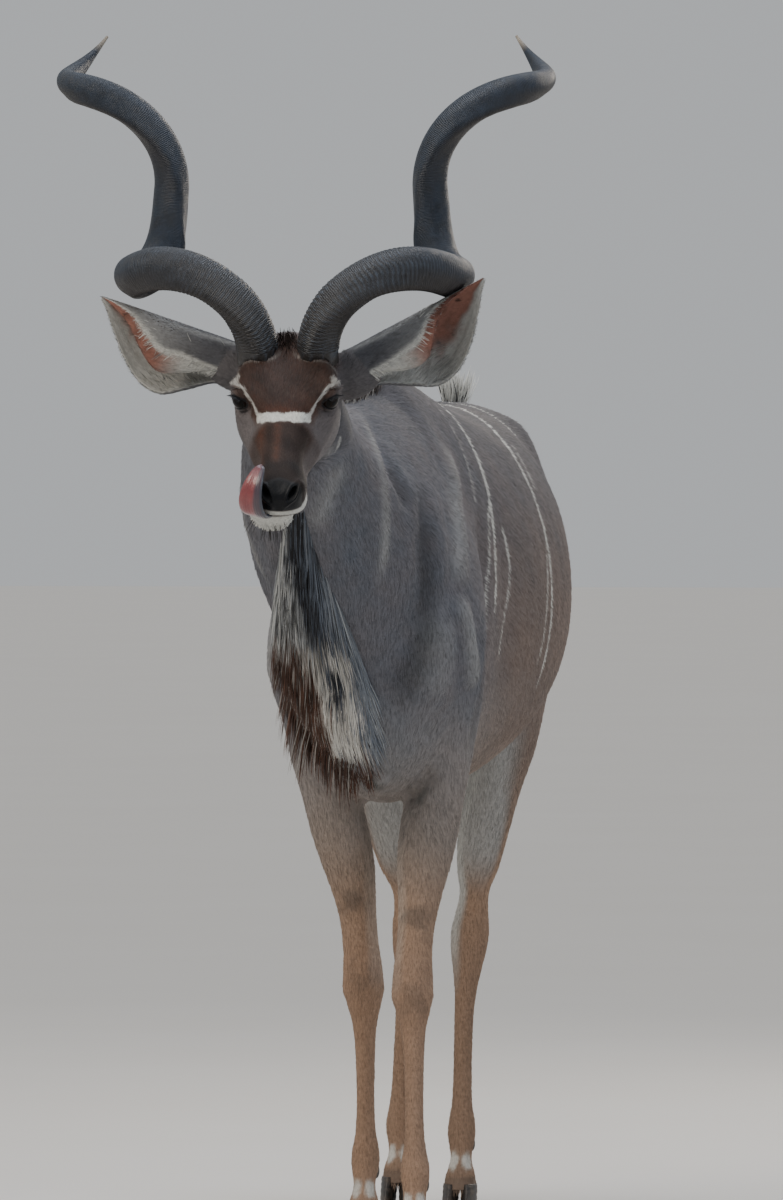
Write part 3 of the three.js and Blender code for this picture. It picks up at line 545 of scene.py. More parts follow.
class Flesh:
    """The animal's forms before they are joined to one skin."""

    def trunk(self) -> Shape:
        """The chest, belly and haunches."""
        rows, sides = along(TRUNK, np.linspace(0, 1, 150)), 112
        stand = forms(TRUNK_FORMS, rows[:, 0], sides)
        first, last, spacing, amount = RIBS
        level = np.sin(2 * math.pi * np.arange(sides) / sides)[None]
        slant = rows[:, :1] - 60 * level
        rib = np.cos(2 * math.pi * slant / spacing)
        rib = rib * step(first - 60, first + 40, slant) * step(last + 60, last, slant)
        return upright_loft(rows, stand + amount * rib * step(0.8, 0.3, np.abs(level - 0.05)))

    def neck(self) -> Shape:
        """The neck, from between the shoulders up into the head."""
        share, sides = np.linspace(0, 1, 70), 80
        centre, up, sizes = neck_section(share)
        return loft(rings(centre, X, up, sizes, sides, forms(NECK_FORMS, share, sides)))

    def leg(self, name: str) -> Shape:
        """A leg, from inside the trunk down to the hoof.

        Args:
            name: Which leg.

        Returns:
            The closed form.
        """
        table, features = (FORELEG, FORELEG_FORMS) if name.startswith("fore") else (HINDLEG, HINDLEG_FORMS)
        z, half, front, back = along(table, np.linspace(0, 1, 200)).T
        centre, sides = np.column_stack([line_at(LINES[name], z), z]), 48
        sizes = np.stack([half, front, back, np.full_like(z, 2), np.full_like(z, 2)], 1)
        return loft(rings(centre, X, -Y, sizes, sides, forms(features, z, sides)))

    def skull(self, fine: bool = False) -> Shape:
        """The head without ears and horns.

        Args:
            fine: Whether it is made fine enough to fit the skin to.

        Returns:
            The closed form, on the animal.
        """
        count, sides = (360, 240) if fine else (150, 112)
        rows = along(SKULL, np.linspace(0, 1, count))
        shape = upright_loft(rows, forms(FACE_FORMS + FACE_DETAIL, rows[:, 0], sides))
        shape.points = head_point(shape.points)
        return shape

    def all(self) -> Shape:
        """Everything that the one skin covers."""
        sheath = ball(np.array([0, 700, 770]), (22, 88, 32), turn("x", 0.2), 40)
        scrotum = ball(np.array([0, 985, 838]), (38, 40, 60), turn("x", -0.15), 40)
        legs, bulbs = [self.leg(name) for name in LINES], [Ear(side).bulb() for side, _ in SIDES]
        trunk = [self.trunk(), self.neck(), self.skull()]
        return Shape.joined([*trunk, *legs, *bulbs, Tail().flesh(), sheath, scrotum])


def upright_loft(rows: Array, stand: Array) -> Shape:
    """A closed form along y through upright rings.

    Args:
        rows: The rings' stations, with the columns of TRUNK.
        stand: How far each corner stands out from the plain ring, by ring and side.

    Returns:
        The form.
    """
    y, wide, half, top, low, full_top, full_low = rows.T
    sizes = np.stack([half, top - wide, wide - low, full_top, full_low], 1)
    return loft(rings(np.stack([0 * y, y, wide], 1), X, Z, sizes, stand.shape[1], stand))


def neck_section(share: Array) -> tuple[Array, Array, Array]:
    """Centre, upward direction and sizes of the neck's rings.

    Args:
        share: How far along the neck, from its base.

    Returns:
        The three, one row for each share.
    """
    x, nape_y, nape_z, throat_y, throat_z, half, full_top, full_low = along(NECK, share).T
    up = np.stack([0 * x, nape_y - throat_y, nape_z - throat_z], 1)
    reach = np.linalg.norm(up, axis=1) / 2
    centre = np.stack([x, (nape_y + throat_y) / 2, (nape_z + throat_z) / 2], 1)
    return centre, unit(up), np.stack([half, reach, reach, full_top, full_low], 1)


def line_at(line: Array, z: Array) -> Array:
    """The x and y of a leg's line at heights, smoothly through its joints.

    Args:
        line: Joints as z, x, y from the top down.
        z: Heights.

    Returns:
        x and y for each height.
    """
    z = np.atleast_1d(z)
    heights = line[:, 0]
    k = np.clip((heights[None] >= z[:, None]).sum(1) - 1, 0, len(line) - 2)
    u = np.clip((heights[k] - z) / (heights[k] - heights[k + 1]), 0, 1)
    return along(line, (k + u) / (len(line) - 1))[:, 1:]


# Eyes


def eye_turn(side: int) -> Array:
    """How the eye on one side is turned in the head's frame."""
    return turn("z", side * 0.92) @ turn("y", side * 0.12) @ turn("x", 0.06)


def eye_view(points: Array, side: int) -> Array:
    """Places in the head's frame seen from in front of an eye."""
    local = (points - EYE * [side, 1, 1]) @ eye_turn(side)
    return np.stack([local[:, 0] * side, local[:, 2], -local[:, 1]], 1)


@dataclass
class Lids:
    """The almond opening of the lids."""

    half_width: float = 17.8
    upper: float = 11.5
    lower: float = 11.5
    sink: float = 7.0  # the skin's inside lies this far behind the eye's surface
    edge: float = 1.8  # the lid's edge stands this far before it

    def reach(self, view: Array) -> Array:
        """How far out from the middle of the opening places are: 1 is at its edge.

        Args:
            view: Places as seen by eye_view.

        Returns:
            One number a place.
        """
        across, up = np.abs(view[:, 0]) / self.half_width, view[:, 1]
        high = np.where(up > 0, self.upper, self.lower)
        return np.sqrt(across**1.8 + (up / high) ** 2)

    def press(self, points: Array, side: int) -> Array:
        """Skin of the head closed round an eye.

        Args:
            points: Places on the skin, in the head's frame.
            side: 1 for left, -1 for right.

        Returns:
            The places, with those near the eye moved.
        """
        view = eye_view(points, side)
        reach = self.reach(view)
        across, up, depth = view.T
        near = (depth > -12) & (reach < 2.6)
        surface = np.sqrt(np.maximum(EYE_RADIUS**2 - np.hypot(across, up) ** 2, 20.0))
        height = self.edge * step(0.9, 1.06, reach) - self.sink * step(1.0, 0.88, reach)
        fold = -2.2 * bell(reach, 1.62, 0.11) * (up > 0) + 0.9 * bell(reach, 1.3, 0.16)
        fold -= 1.1 * bell(reach, 1.5, 0.1) * (up < 0)
        depth += near * step(2.3, 1.45, reach) * (surface + height + fold - depth)
        return np.stack([across * side, -depth, up], 1) @ eye_turn(side).T + EYE * [side, 1, 1]


# Skin


@dataclass
class Skin:
    """The one skin over head, neck, trunk, tail and legs."""

    voxel: float = 6.7
    evenings: int = 5  # how often each corner moves towards its neighbours
    mouth_corner: tuple = (-318.0, -28.0)  # y and z in the head's frame
    jaw_shift: float = -15.0
    groove: float = 4.5
    reach: float = 16.0  # how far off the skull's form is looked for

    def build(self) -> bpy.types.Object:
        """Joins the flesh to one surface and works its forms.

        Returns:
            The skin.
        """
        skin = Flesh().all().obj("skin")
        skin.data.remesh_voxel_size = self.voxel * MM
        skin.data.remesh_voxel_adaptivity = 0
        bpy.context.view_layer.objects.active = skin
        skin.select_set(True)
        bpy.ops.object.voxel_remesh()
        skin.data.shade_smooth()
        self.smooth(skin)
        self.refine(skin, self.head_region)
        self.fit_head(skin)
        self.refine(skin, self.fine_region)
        self.fit_head(skin)
        self.inset(skin)
        self.shape_face(skin)
        self.crease(skin)
        return skin

    def smooth(self, skin: bpy.types.Object) -> None:
        """Evens the surface without shrinking it much, by moves in and out.

        Args:
            skin: The skin.
        """
        points = points_of(skin)
        edges = read(skin.data.edges, "vertices", 2)
        a, b = edges.T
        count = np.bincount(edges.ravel(), minlength=len(points))[:, None]
        for i in range(self.evenings):
            way = 0.5 if i % 2 == 0 else -0.45
            sums = [np.bincount(a, p[b], len(p)) + np.bincount(b, p[a], len(p)) for p in points.T]
            points = points + way * (np.stack(sums, 1) / count - points)
        set_points(skin, points)

    def refine(self, skin: bpy.types.Object, region: Callable[[Array], Array]) -> None:
        """Parts the faces of a region of the head into smaller ones.

        Args:
            skin: The skin.
            region: Takes places in the head's frame and says which are inside.
        """
        inside = region(in_head(points_of(skin)))
        work = bmesh.new()
        work.from_mesh(skin.data)
        work.edges.ensure_lookup_table()
        edges = [e for e in work.edges if inside[e.verts[0].index] and inside[e.verts[1].index]]
        bmesh.ops.subdivide_edges(work, edges=edges, cuts=1, use_grid_fill=True)
        work.to_mesh(skin.data)
        work.free()
        skin.data.shade_smooth()

    @staticmethod
    def head_region(h: Array) -> Array:
        """The whole head, in its own frame."""
        return (h[:, 1] < 46) & (h[:, 2] > -128) & (np.abs(h[:, 0]) < 112)

    @staticmethod
    def fine_region(h: Array) -> Array:
        """The muzzle's end and the surroundings of the eyes, in the head's frame."""
        near_eye = [np.linalg.norm(h - EYE * [side, 1, 1], axis=1) < 44 for side, _ in SIDES]
        return near_eye[0] | near_eye[1] | ((h[:, 1] < -318) & (np.abs(h[:, 0]) < 90))

    def fit_head(self, skin: bpy.types.Object) -> None:
        """Draws the skin of the head onto the skull's exact form.

        Args:
            skin: The skin.
        """
        form = Flesh().skull(fine=True)
        faces = [face for block in form.faces for face in block.tolist()]
        tree = BVHTree.FromPolygons(form.points.tolist(), faces)
        points = points_of(skin)
        _, y, z = in_head(points).T
        for i in np.nonzero((y < 30) & (z > -130))[0]:
            near, _, _, gap = tree.find_nearest(points[i].tolist(), self.reach)
            if near is not None:
                weight = 1 - min(max((gap - 6) / 6, 0), 1)
                points[i] += weight * (np.array(near) - points[i])
        set_points(skin, points)

    def inset(self, skin: bpy.types.Object) -> None:
        """Moves the skin in by the depth of the coat, which is least on face and feet."""
        points = points_of(skin)
        set_points(skin, points - normals_of(skin) * coat_depth(points)[:, None])

    def shape_face(self, skin: bpy.types.Object) -> None:
        """Shapes lids, mouth, lips, nostrils and the folds of the face.

        Args:
            skin: The skin.
        """
        points = points_of(skin)
        h, n = in_head(points), normals_of(skin) @ HEAD_TURN
        _, y, z = h.T
        muzzle = (y < -300) & (z > -125) & (points[:, 1] < -400)
        corner_y, line_z = self.mouth_corner
        front = step(corner_y + 6, corner_y - 22, y) * muzzle
        low = step(line_z + 2.5, line_z - 3.5, z)
        h[:, 0] += self.jaw_shift * low * front * (y < corner_y + 8)
        y += 9 * low * step(-385, -425, y) * muzzle
        depth = self.groove * bell(z, line_z, 2.4) * front
        depth -= 1.6 * (bell(z, line_z - 7, 4.5) + bell(z, line_z + 7, 4.5)) * front
        h -= n * (depth * muzzle)[:, None]
        for side, _ in SIDES:
            h = Nostril(side).press(h, n)
            h = Lids().press(h, side)
        h = self.tear_groove(h, n)
        set_points(skin, head_point(h))

    @staticmethod
    def tear_groove(h: Array, n: Array) -> Array:
        """Folds below and before each eye.

        Args:
            h: Places in the head's frame.
            n: Directions there.

        Returns:
            The moved places.
        """
        mirrored = np.abs(h * X) + h * (Y + Z)
        for line, amount, width in (
            ([(60, -196, 34), (54, -216, 24), (49, -238, 10)], 3.0, 4.0),
            ([(66, -190, 20), (58, -214, 8), (52, -240, -6)], 1.6, 3.5),
            ([(44, -250, 24), (38, -290, 14), (36, -330, 2)], 1.6, 5.0),
        ):
            gap, share = polyline_gap(mirrored, line)
            h = h - n * (amount * bell(gap, 0, width) * step(1.0, 0.75, share))[:, None]
        return h

    def crease(self, skin: bpy.types.Object) -> None:
        """Presses in the folds at the base of the neck and between chest and forelegs.

        Args:
            skin: The skin.
        """
        points = points_of(skin)
        normals = normals_of(skin)
        middle = middle_of(points)
        for fold in FOLDS:
            place = points.copy()
            if fold.both:
                place[:, 0] = middle + np.abs(points[:, 0] - middle)
            gap, share = polyline_gap(place, fold.line)
            form = bell(gap, 0, fold.width) - 0.15 * bell(gap, 2.4 * fold.width, fold.width)
            points = points - normals * (fold.depth * form * fold.fade(share))[:, None]
        set_points(skin, points)


@dataclass
class Fold:
    """A fold, or with a depth below 0 a ridge, of the hide along a line."""

    line: list
    depth: float
    width: float
    both: bool = True  # whether the other side of the animal has it too

    def fade(self, share: Array) -> Array:
        """How much of a fold's depth is left at shares along it: a long one runs out at its ends."""
        long = np.linalg.norm(np.diff(np.array(self.line, float), axis=0), axis=1).sum() > 4 * self.width
        return step(0, 0.2, share) * step(1, 0.8, share) if long else np.ones_like(share)


FOLDS = [
    # Between the neck and the shoulder, and the hollow before the shoulder blade
    Fold([(10, -70, 1400), (34, -165, 1362), (58, -205, 1306), (72, -185, 1262), (86, -158, 1215)], 10, 19),
    Fold([(82, -160, 1227), (91, -151, 1172), (93, -143, 1123), (90, -134, 1082), (82, -130, 1041),
          (63, -140, 992)], 5, 14),
    Fold([(88, -60, 1300), (99, -117, 1213), (104, -118, 1147), (105, -102, 1081), (101, -109, 1024),
          (88, -121, 975), (63, -132, 931), (38, -125, 885)], 15, 25),
    # The edge of the neck before them
    Fold([(-2, -120, 1388), (17, -180, 1361), (36, -239, 1312), (46, -255, 1264), (50, -247, 1215),
          (48, -231, 1149), (42, -222, 1080)], -4, 12),
    # Shoulder blade, upper arm and the point of the shoulder
    Fold([(99, 206, 1342), (115, 126, 1276), (130, 56, 1211), (139, 6, 1145), (142, -17, 1096)], -9, 24),
    Fold([(142, -17, 1096), (154, -12, 1050), (163, -5, 1006), (165, 9, 964), (155, 14, 923)], -9, 16),
    Fold([(119, -84, 1015), (111, -86, 950)], -12, 38),
    Fold([(140, -40, 905), (118, -40, 868), (90, -40, 842)], 6, 18),
    # Behind the shoulder and the upper arm
    Fold([(149, 262, 1241), (159, 223, 1175), (167, 194, 1109), (171, 150, 1043), (177, 90, 979),
          (169, 75, 913), (158, 82, 843), (143, 66, 800)], 10, 19),
    # Brisket, armpits and flank
    Fold([(-20, 4, 765), (6, -35, 780), (33, -28, 783)], -8, 10, False),
    Fold([(-42, -52, 800), (-23, 6, 764), (7, 30, 755), (40, 48, 750)], 8, 9, False),
    Fold([(44, 62, 746), (60, 46, 758), (79, 32, 780), (96, 26, 806)], 10, 9),
    Fold([(-60, 30, 760), (-95, 40, 775), (-140, 60, 830)], 8, 10, False),
    Fold([(180, 930, 900), (196, 900, 980), (206, 880, 1080)], 8, 18),
    # Wrinkles of the throat where the head turns
    Fold([(-20, -398, 1262), (2, -372, 1230), (8, -340, 1190)], 4, 8, False),
]


def middle_of(points: Array) -> Array:
    """The x of the animal's own middle at places, which the turned neck carries to its right."""
    station = points[:, 1] + 0.28 * (1420 - points[:, 2])
    stations, middles = [-260, -130, 0, 110, 220, 320, 410, 480], [0, -4, -27, -48, -68, -76, -74, -70]
    return np.interp(-station, stations, middles)


def coat_depth(points: Array) -> Array:
    """How far the coat stands over the skin, in millimetres.

    Args:
        points: Places on the animal.

    Returns:
        One depth a place.
    """
    h = in_head(points)
    head = step(40, -40, h[:, 1]) * step(-140, -105, h[:, 2]) * (points[:, 1] < -300)
    leg = step(820, 560, points[:, 2])
    depth = 4.6 - 2.4 * leg
    depth = depth + (1.6 - depth) * head
    return depth * (1 - 0.8 * step(-385, -415, h[:, 1]) * (head > 0.5))


@dataclass
class Nostril:
    """A comma-shaped nostril at a corner of the nose pad."""

    side: int
    middle: tuple = (21.0, -421.0, 14.0)
    depth: float = 15.0

    def press(self, h: Array, n: Array) -> Array:
        """Hollows the nose.

        Args:
            h: Places in the head's frame.
            n: Directions there.

        Returns:
            The moved places.
        """
        reach = self.reach(h)
        inward = unit(np.array([-0.25 * self.side, 0.95, 0.05]))
        h = h + inward * (self.depth * step(1.0, 0.35, reach))[:, None]
        return h + n * (1.9 * bell(reach, 1.3, 0.22))[:, None]

    def reach(self, h: Array) -> Array:
        """How far out from the middle places are: 1 is at the rim."""
        x, y, z = (h - np.array(self.middle) * [self.side, 1, 1]).T
        out = x * self.side
        lift = z - 0.06 * out**2 * np.sign(out)
        u = 0.8 * out + 0.6 * lift
        v = -0.6 * out + 0.8 * lift
        return np.sqrt((u / 12.0) ** 2 + (v / 7.5) ** 2 + (y / 24.0) ** 2)


# Ears


@dataclass
class Ear:
    """An ear: a sheet rolled into a trumpet that opens forward and down."""

    side: int
    length: float = 264.0
    rows: int = 110
    across: int = 48
    # Share of the length, radius, degrees covered to the front (left ear, right ear) and below, wall
    table = np.array([
        [0, 34, 160, 160, 150, 6], [0.14, 38, 160, 160, 150, 5.5], [0.3, 50, 160, 160, 146, 5],
        [0.45, 60, 143, 155, 138, 4.5], [0.6, 57, 102, 132, 134, 4.2], [0.74, 44, 78, 108, 128, 4],
        [0.87, 25, 70, 98, 118, 3.6], [0.96, 9, 68, 92, 105, 3], [1, 3, 66, 88, 100, 1.6],
    ])
    edges = {1: ((8, -515, 1486), (0.835, 0.23, 0.455)), -1: ((-146, -503, 1499), (-0.91, 0.23, 0.3))}

    def __post_init__(self) -> None:
        """Sets the directions of the ear."""
        start, way = self.edges[self.side]
        self.start, self.way = np.array(start, float), unit(np.array(way))
        self.down = unit(-Z + self.way * self.way[2])
        self.front = np.cross(self.way, self.down)
        if self.front[1] > 0:
            self.front = -self.front

    def bulb(self) -> Shape:
        """The muscle at the ear's root, part of the skin."""
        matrix = np.stack([self.way, np.cross(self.down, self.way), self.down], 1)
        return ball(self.start + 4 * self.way + 38 * self.down, (58, 33, 41), matrix, 48)

    def surface(self, share: Array, turn_share: Array, inner: bool) -> Array:
        """Places on the ear's outside or inside.

        Args:
            share: How far along the ear.
            turn_share: How far round the sheet, from its front edge to its lower one.
            inner: Whether the inside is meant.

        Returns:
            One place a row.
        """
        place, radius, left_front, right_front, to_low, wall = along(self.table, share).T
        to_front = left_front if self.side > 0 else right_front
        angle = np.radians(135 - to_front + (to_front + to_low) * turn_share)
        edge = np.minimum(turn_share, 1 - turn_share)
        if inner:
            thin = wall * (0.35 + 0.65 * step(0, 0.16, edge))
            radius = np.maximum(radius - thin, radius * 0.45)
            ridge = np.cos(2 * math.pi * (turn_share * 5.2 + 0.25)) * step(0.05, 0.25, edge)
            radius = radius - 1.5 * ridge * step(0.95, 0.5, place) * step(0.05, 0.3, place)
        else:
            radius = radius + 1.2 * np.sin(9 * share + 5 * turn_share) * step(0, 0.2, edge)
        middle = self.start + np.outer(place * self.length, self.way) + radius[:, None] * self.down
        out = np.outer(0.8 * np.cos(angle), self.front) - np.outer(np.sin(angle), self.down)
        return middle + radius[:, None] * out

    def shape(self) -> tuple[Shape, Array]:
        """The sheet, closed round its edges.

        Returns:
            The shape, and for each corner the share along, the share round and 1 on the inside.
        """
        share, turn_share = np.linspace(0.02, 1, self.rows), np.linspace(0, 1, self.across)
        share, turn_share = np.meshgrid(share, turn_share, indexing="ij")
        outer, inner = (
            self.surface(share.ravel(), turn_share.ravel(), inside).reshape(self.rows, self.across, 3)
            for inside in (False, True)
        )
        shape = loft(np.concatenate([outer, inner[:, ::-1]], 1))
        place = np.concatenate([share, share], 1)
        round_ = np.concatenate([turn_share, turn_share[:, ::-1]], 1)
        inside = np.concatenate([0 * share, 0 * share + 1], 1)
        return shape, loft_marks(place, round_, inside, ends=[[0, 0.5, 1], [1, 0.5, 1]])


# Tail


class Tail:
    """The tail, hanging behind the rump."""

    rows = np.array([
        [0, 1268, 1300, 26, 26, 26, 2, 2], [0, 1318, 1268, 22, 22, 22, 2, 2],
        [0, 1364, 1212, 18, 16, 13, 2, 2], [2, 1378, 1130, 20, 13, 14, 2, 2],
        [4, 1382, 1050, 22, 12, 14, 2, 2], [6, 1380, 970, 21, 12, 14, 2, 2],
        [8, 1374, 905, 15, 10, 12, 2, 2], [9, 1370, 860, 5, 4, 5, 2, 2],
    ])
    turns = np.array([0.95, 0.9, 0.45, 0.12, 0.02, 0, -0.05, -0.05])[:, None]

    def flesh(self) -> Shape:
        """The tail's own form without its long hair."""
        share = np.linspace(0, 1, 90)
        rows = along(self.rows, share)
        angle = along(self.turns, share)[:, 0]
        up = np.stack([0 * angle, np.cos(angle), np.sin(angle)], 1)
        return loft(rings(rows[:, :3], X, up, rows[:, 3:], 28))


# Horns


@dataclass
class Horn:
    """A horn: an open spiral about an axis that leans back and out."""

    side: int
    steps: int = 720
    sides: int = 36
    turns: tuple = (-190.0, 468.0)
    out: tuple = (145.8, 281.0, -66.0)
    back: tuple = (0.0, 460.0)
    up: tuple = (-10.8, 562.0, -68.0)
    spiral_radii: tuple = (100.0, 102.0, 35.0, 70.0)
    keel: float = 0.22
    tuck: float = 43.0
    lean: float = 40.0
    wrinkle_spacing: float = 6.6
    girth = np.array([36, 34.5, 33, 32, 31.5, 31, 29, 26.5, 22, 14.5, 2.2])[:, None]

    def __post_init__(self) -> None:
        """Sets the axis of the spiral."""
        self.axis = unit([self.out[1] + self.out[2], self.back[1], self.up[1]])
        self.outward = unit(X - self.axis * self.axis[0])
        self.forward = np.cross(self.outward, self.axis)
        if self.forward[1] > 0:
            self.forward = -self.forward
        self.root = head_point(np.array([self.side * 49.0, -72, 74]))

    def spiral(self, t: Array) -> Array:
        """The middle line of the left horn before it is set on the head.

        Args:
            t: Shares along the spiral.

        Returns:
            One place a row.
        """
        angle = np.radians(self.turns[0] + (self.turns[1] - self.turns[0]) * t)
        a, b, c, d = self.spiral_radii
        radius = a * (1 - t) ** 3 + 3 * b * t * (1 - t) ** 2 + 3 * c * t * t * (1 - t) + d * t**3
        tuck = step(0.08, 0.27, t) * (1 - step(0.36, 0.52, t))
        out = self.out[0] + self.out[1] * t + self.out[2] * t * t - self.tuck * tuck
        back = self.back[0] + self.back[1] * t + self.lean * step(0, 0.22, t)
        middle = np.stack([out, back, self.up[0] + self.up[1] * t + self.up[2] * t * (1 - t)], 1)
        way = np.outer(radius * np.cos(angle), self.outward)
        return middle + way - np.outer(radius * np.sin(angle), self.forward)

    def line(self) -> tuple[Array, Array]:
        """The middle line on the head, evenly spaced, and its direction."""
        t = np.linspace(0, 1, 3000)
        path = (self.spiral(t) - self.spiral(np.zeros(1))) * [self.side, 1, 1]
        path = path @ turn("z", HORN_YAW).T + self.root
        length = np.concatenate([[0], np.cumsum(np.linalg.norm(np.diff(path, axis=0), axis=1))])
        even = np.linspace(0, 1, self.steps) * length[-1]
        points = np.stack([np.interp(even, length, path[:, k]) for k in range(3)], 1)
        self.length = length[-1]
        return points, unit(np.gradient(points, axis=0))

    def shape(self) -> tuple[Shape, Array]:
        """The horn with its keel and wrinkles.

        Returns:
            The shape, and for each corner the share along and round, and how deep in a wrinkle it lies.
        """
        centre, way = self.line()
        centre[0] -= 22 * way[0]
        share = np.linspace(0, 1, self.steps)
        keel = -self.axis * [self.side, 1, 1]
        keel = unit(keel - way * (way @ keel)[:, None])
        across = np.cross(way, keel)
        angle = 2 * math.pi * np.arange(self.sides)[None] / self.sides
        c, s = np.cos(angle), np.sin(angle)
        radius = along(self.girth, share) * (1 + self.keel * np.maximum(0, c) ** 12)
        wave, strength = self.wrinkles(share[:, None] * self.length, angle, share[:, None])
        radius = radius + strength * wave
        places = centre[:, None] + (radius * c)[..., None] * keel[:, None]
        places = places + (0.94 * radius * s)[..., None] * across[:, None]
        ends = [[0, 0, 0], [1, 0, 0]]
        return loft(places), loft_marks(share[:, None], angle / 6.2832, wave * strength, ends=ends)

    def wrinkles(self, length: Array, angle: Array, share: Array) -> tuple[Array, Array]:
        """The rings across the horn, strongest near its base, and the fine ribs along it.

        Args:
            length: Millimetres from the base.
            angle: Angle round the horn.
            share: Share of the length.

        Returns:
            The wave, and how strong it is.
        """
        bend = 4.0 * np.sin(angle * 2 + 0.8) + 2.6 * np.sin(angle * 3 + length / 29)
        bend = bend + 2.2 * np.sin(5 * angle + length / 17)
        bend = bend + 5.0 * np.sin(length / 43) + 2.6 * np.sin(length / 19 + angle)
        phase = 2 * math.pi * (length + bend) / self.wrinkle_spacing
        patchy = 0.5 + 0.5 * np.sin(length / 31 + 2.2 * np.sin(angle + length / 60))
        wave = 0.62 * np.sin(phase) + 0.26 * np.sin(2 * phase + 1.1 + np.sin(angle * 4)) - 0.08
        low = 1.5 * step(0.36, 0.0, share) * (0.35 + 0.8 * patchy)
        strength = low + 0.3 * step(0.62, 0.2, share) * patchy + 0.05
        ribs = np.sin(angle * 13 + 0.9 * np.sin(length / 70))
        return wave + 0.2 * ribs, strength * np.ones_like(wave)


# Tongue


class Tongue:
    """The tongue, curled up over the right side of the muzzle."""

    # x, y, z, half width, half thickness in the head's frame
    rows = np.array([
        [-10, -366, -30, 15, 5.5], [-20, -390, -30, 19, 6], [-31, -411, -28, 21, 6],
        [-41, -429, -15, 22, 6], [-45, -434, 6, 21, 5.5], [-43, -430, 26, 18, 5],
        [-37, -418, 42, 14, 4.4], [-31, -403, 50, 9, 3.4], [-28, -393, 51, 3, 1.8],
    ])
    side = unit(np.array([0.9, -0.42, 0]))

    def shape(self) -> tuple[Shape, Array]:
        """The tongue with its middle furrow.

        Returns:
            The shape, and for each corner the share along, the place across from -1 to 1, and the height in
            its section from 1 on top to -1 below.
        """
        count, sides = 110, 44
        share = np.linspace(0, 1, count)
        x, y, z, half, thick = along(self.rows, share).T
        centre = np.stack([x, y, z], 1)
        way = unit(np.gradient(centre, axis=0))
        side = unit(self.side - way * (way @ self.side)[:, None])
        up = np.cross(side, way)
        full = np.full_like(half, 2.3)
        angle = 2 * math.pi * np.arange(sides)[None] / sides
        cup = -1.6 * bell(np.cos(angle), 0, 0.34) * np.sign(np.sin(angle)) * step(0.02, 0.3, share)[:, None]
        end = np.maximum(1 - step(0.9, 1.0, share), 0.25)
        sizes = np.stack([half * end**0.4, thick, thick, full, full], 1)
        places = rings(centre, side, up, sizes, sides)
        places += cup[..., None] * up[:, None] * step(0, 6, half)[:, None, None]
        shape = loft(head_point(places))
        ends = [[0, 0, 0], [1, 0, 0]]
        return shape, loft_marks(share[:, None], np.cos(angle), np.sin(angle), ends=ends)


# Hooves


@dataclass
class Hoof:
    """One claw of a cloven hoof."""

    leg: str
    half: int  # -1 on the animal's right of the foot, 1 on its left

    def shape(self) -> Shape:
        """The claw, with growth rings and a flat sole."""
        share = np.linspace(0, 52 / 72, 44)
        z, shift, half, front, back = along(CLAW, share).T
        x, y = line_at(LINES[self.leg], np.array([40.0]))[0]
        full = np.full_like(z, 2)
        centre = np.stack([x + self.half * (CLAW_SPREAD + (72 - z) * 0.03), y + shift, z], 1)
        round_edge = 1 - 0.05 * step(5, 0, z)
        sizes = np.stack([half * round_edge, front * round_edge, back * round_edge, full * 0.775, full], 1)
        growth = 0.35 * np.sin(z / 1.35 + 2 * np.sin(z / 9))
        stand = growth[:, None] * step(2, 8, z)[:, None] * np.ones(40)
        return loft(rings(centre, X, -Y, sizes, 40, stand))


# Studio


@dataclass
class Studio:
    """Camera, floor and lights."""

    distance: float = 22.0
    azimuth: float = math.radians(7)
    eye_height: float = 1.5
    lens: float = 400.0
    aim: tuple = (0.02888, 1.0792)  # metres to the side of the animal's middle, and height

    def camera(self) -> None:
        """Sets the camera where the photograph was taken from."""
        shift = SHIFT * MM
        right = np.array([math.cos(self.azimuth), math.sin(self.azimuth), 0])
        place = np.array([math.sin(self.azimuth), -math.cos(self.azimuth), 0]) * self.distance
        place[2] = self.eye_height
        target = right * self.aim[0] + Z * self.aim[1]
        data = bpy.data.cameras.new("camera")
        data.lens, data.sensor_width, data.sensor_fit, data.clip_end = self.lens, 36, "AUTO", 120
        camera = show("camera", data)
        camera.location = place + shift
        camera.rotation_euler = look(place, target)
        bpy.context.scene.camera = camera

    def lights(self) -> None:
        """Hangs large soft lights round the animal."""
        for name, place, size, power, tint in (
            ("key", (-3.0, -4.0, 4.4), 2.6, 95, "#fff2e2"),
            ("fill", (4.6, -3.0, 3.2), 2.8, 60, "#e6efff"),
            ("top", (0.4, 0.2, 5.0), 2.6, 80, "#eef4ff"),
            ("back", (2.4, 4.8, 3.4), 3.0, 110, "#fff4e6"),
        ):
            data = bpy.data.lights.new(name, "AREA")
            data.shape, data.size, data.energy, data.color = "DISK", size, power, linear(tint)[:3]
            lamp = show(name, data)
            lamp.location = place
            lamp.rotation_euler = look(np.array(place), np.array([0, 0, 1.0]))

    def daylight(self) -> None:
        """Lights animal and floor evenly from high on the left."""
        data = bpy.data.lights.new("daylight", "SUN")
        data.energy, data.angle, data.color = 1.25, math.radians(50), linear("#fdf8f2")[:3]
        show("daylight", data).rotation_euler = look(np.array([-0.42, -0.5, 0.9]), np.zeros(3))

    def floor(self) -> None:
        """Lays a wide pale floor."""
        shape = Shape(
            np.array([[-1, -1, 0], [1, -1, 0], [1, 1, 0], [-1, 1, 0]]) * 60000.0 - SHIFT,
            [np.array([[0, 1, 2, 3]])],
        )
        floor = shape.obj("floor")
        floor.data.materials.append(FloorFinish().material())

    def world(self) -> None:
        """Fills the room with even pale light."""
        world = bpy.data.worlds.new("room")
        world.use_nodes = True
        ground = world.node_tree.nodes["Background"]
        ground.inputs["Color"].default_value = linear("#e2e5e8")
        ground.inputs["Strength"].default_value = 0.62
        bpy.context.scene.world = world


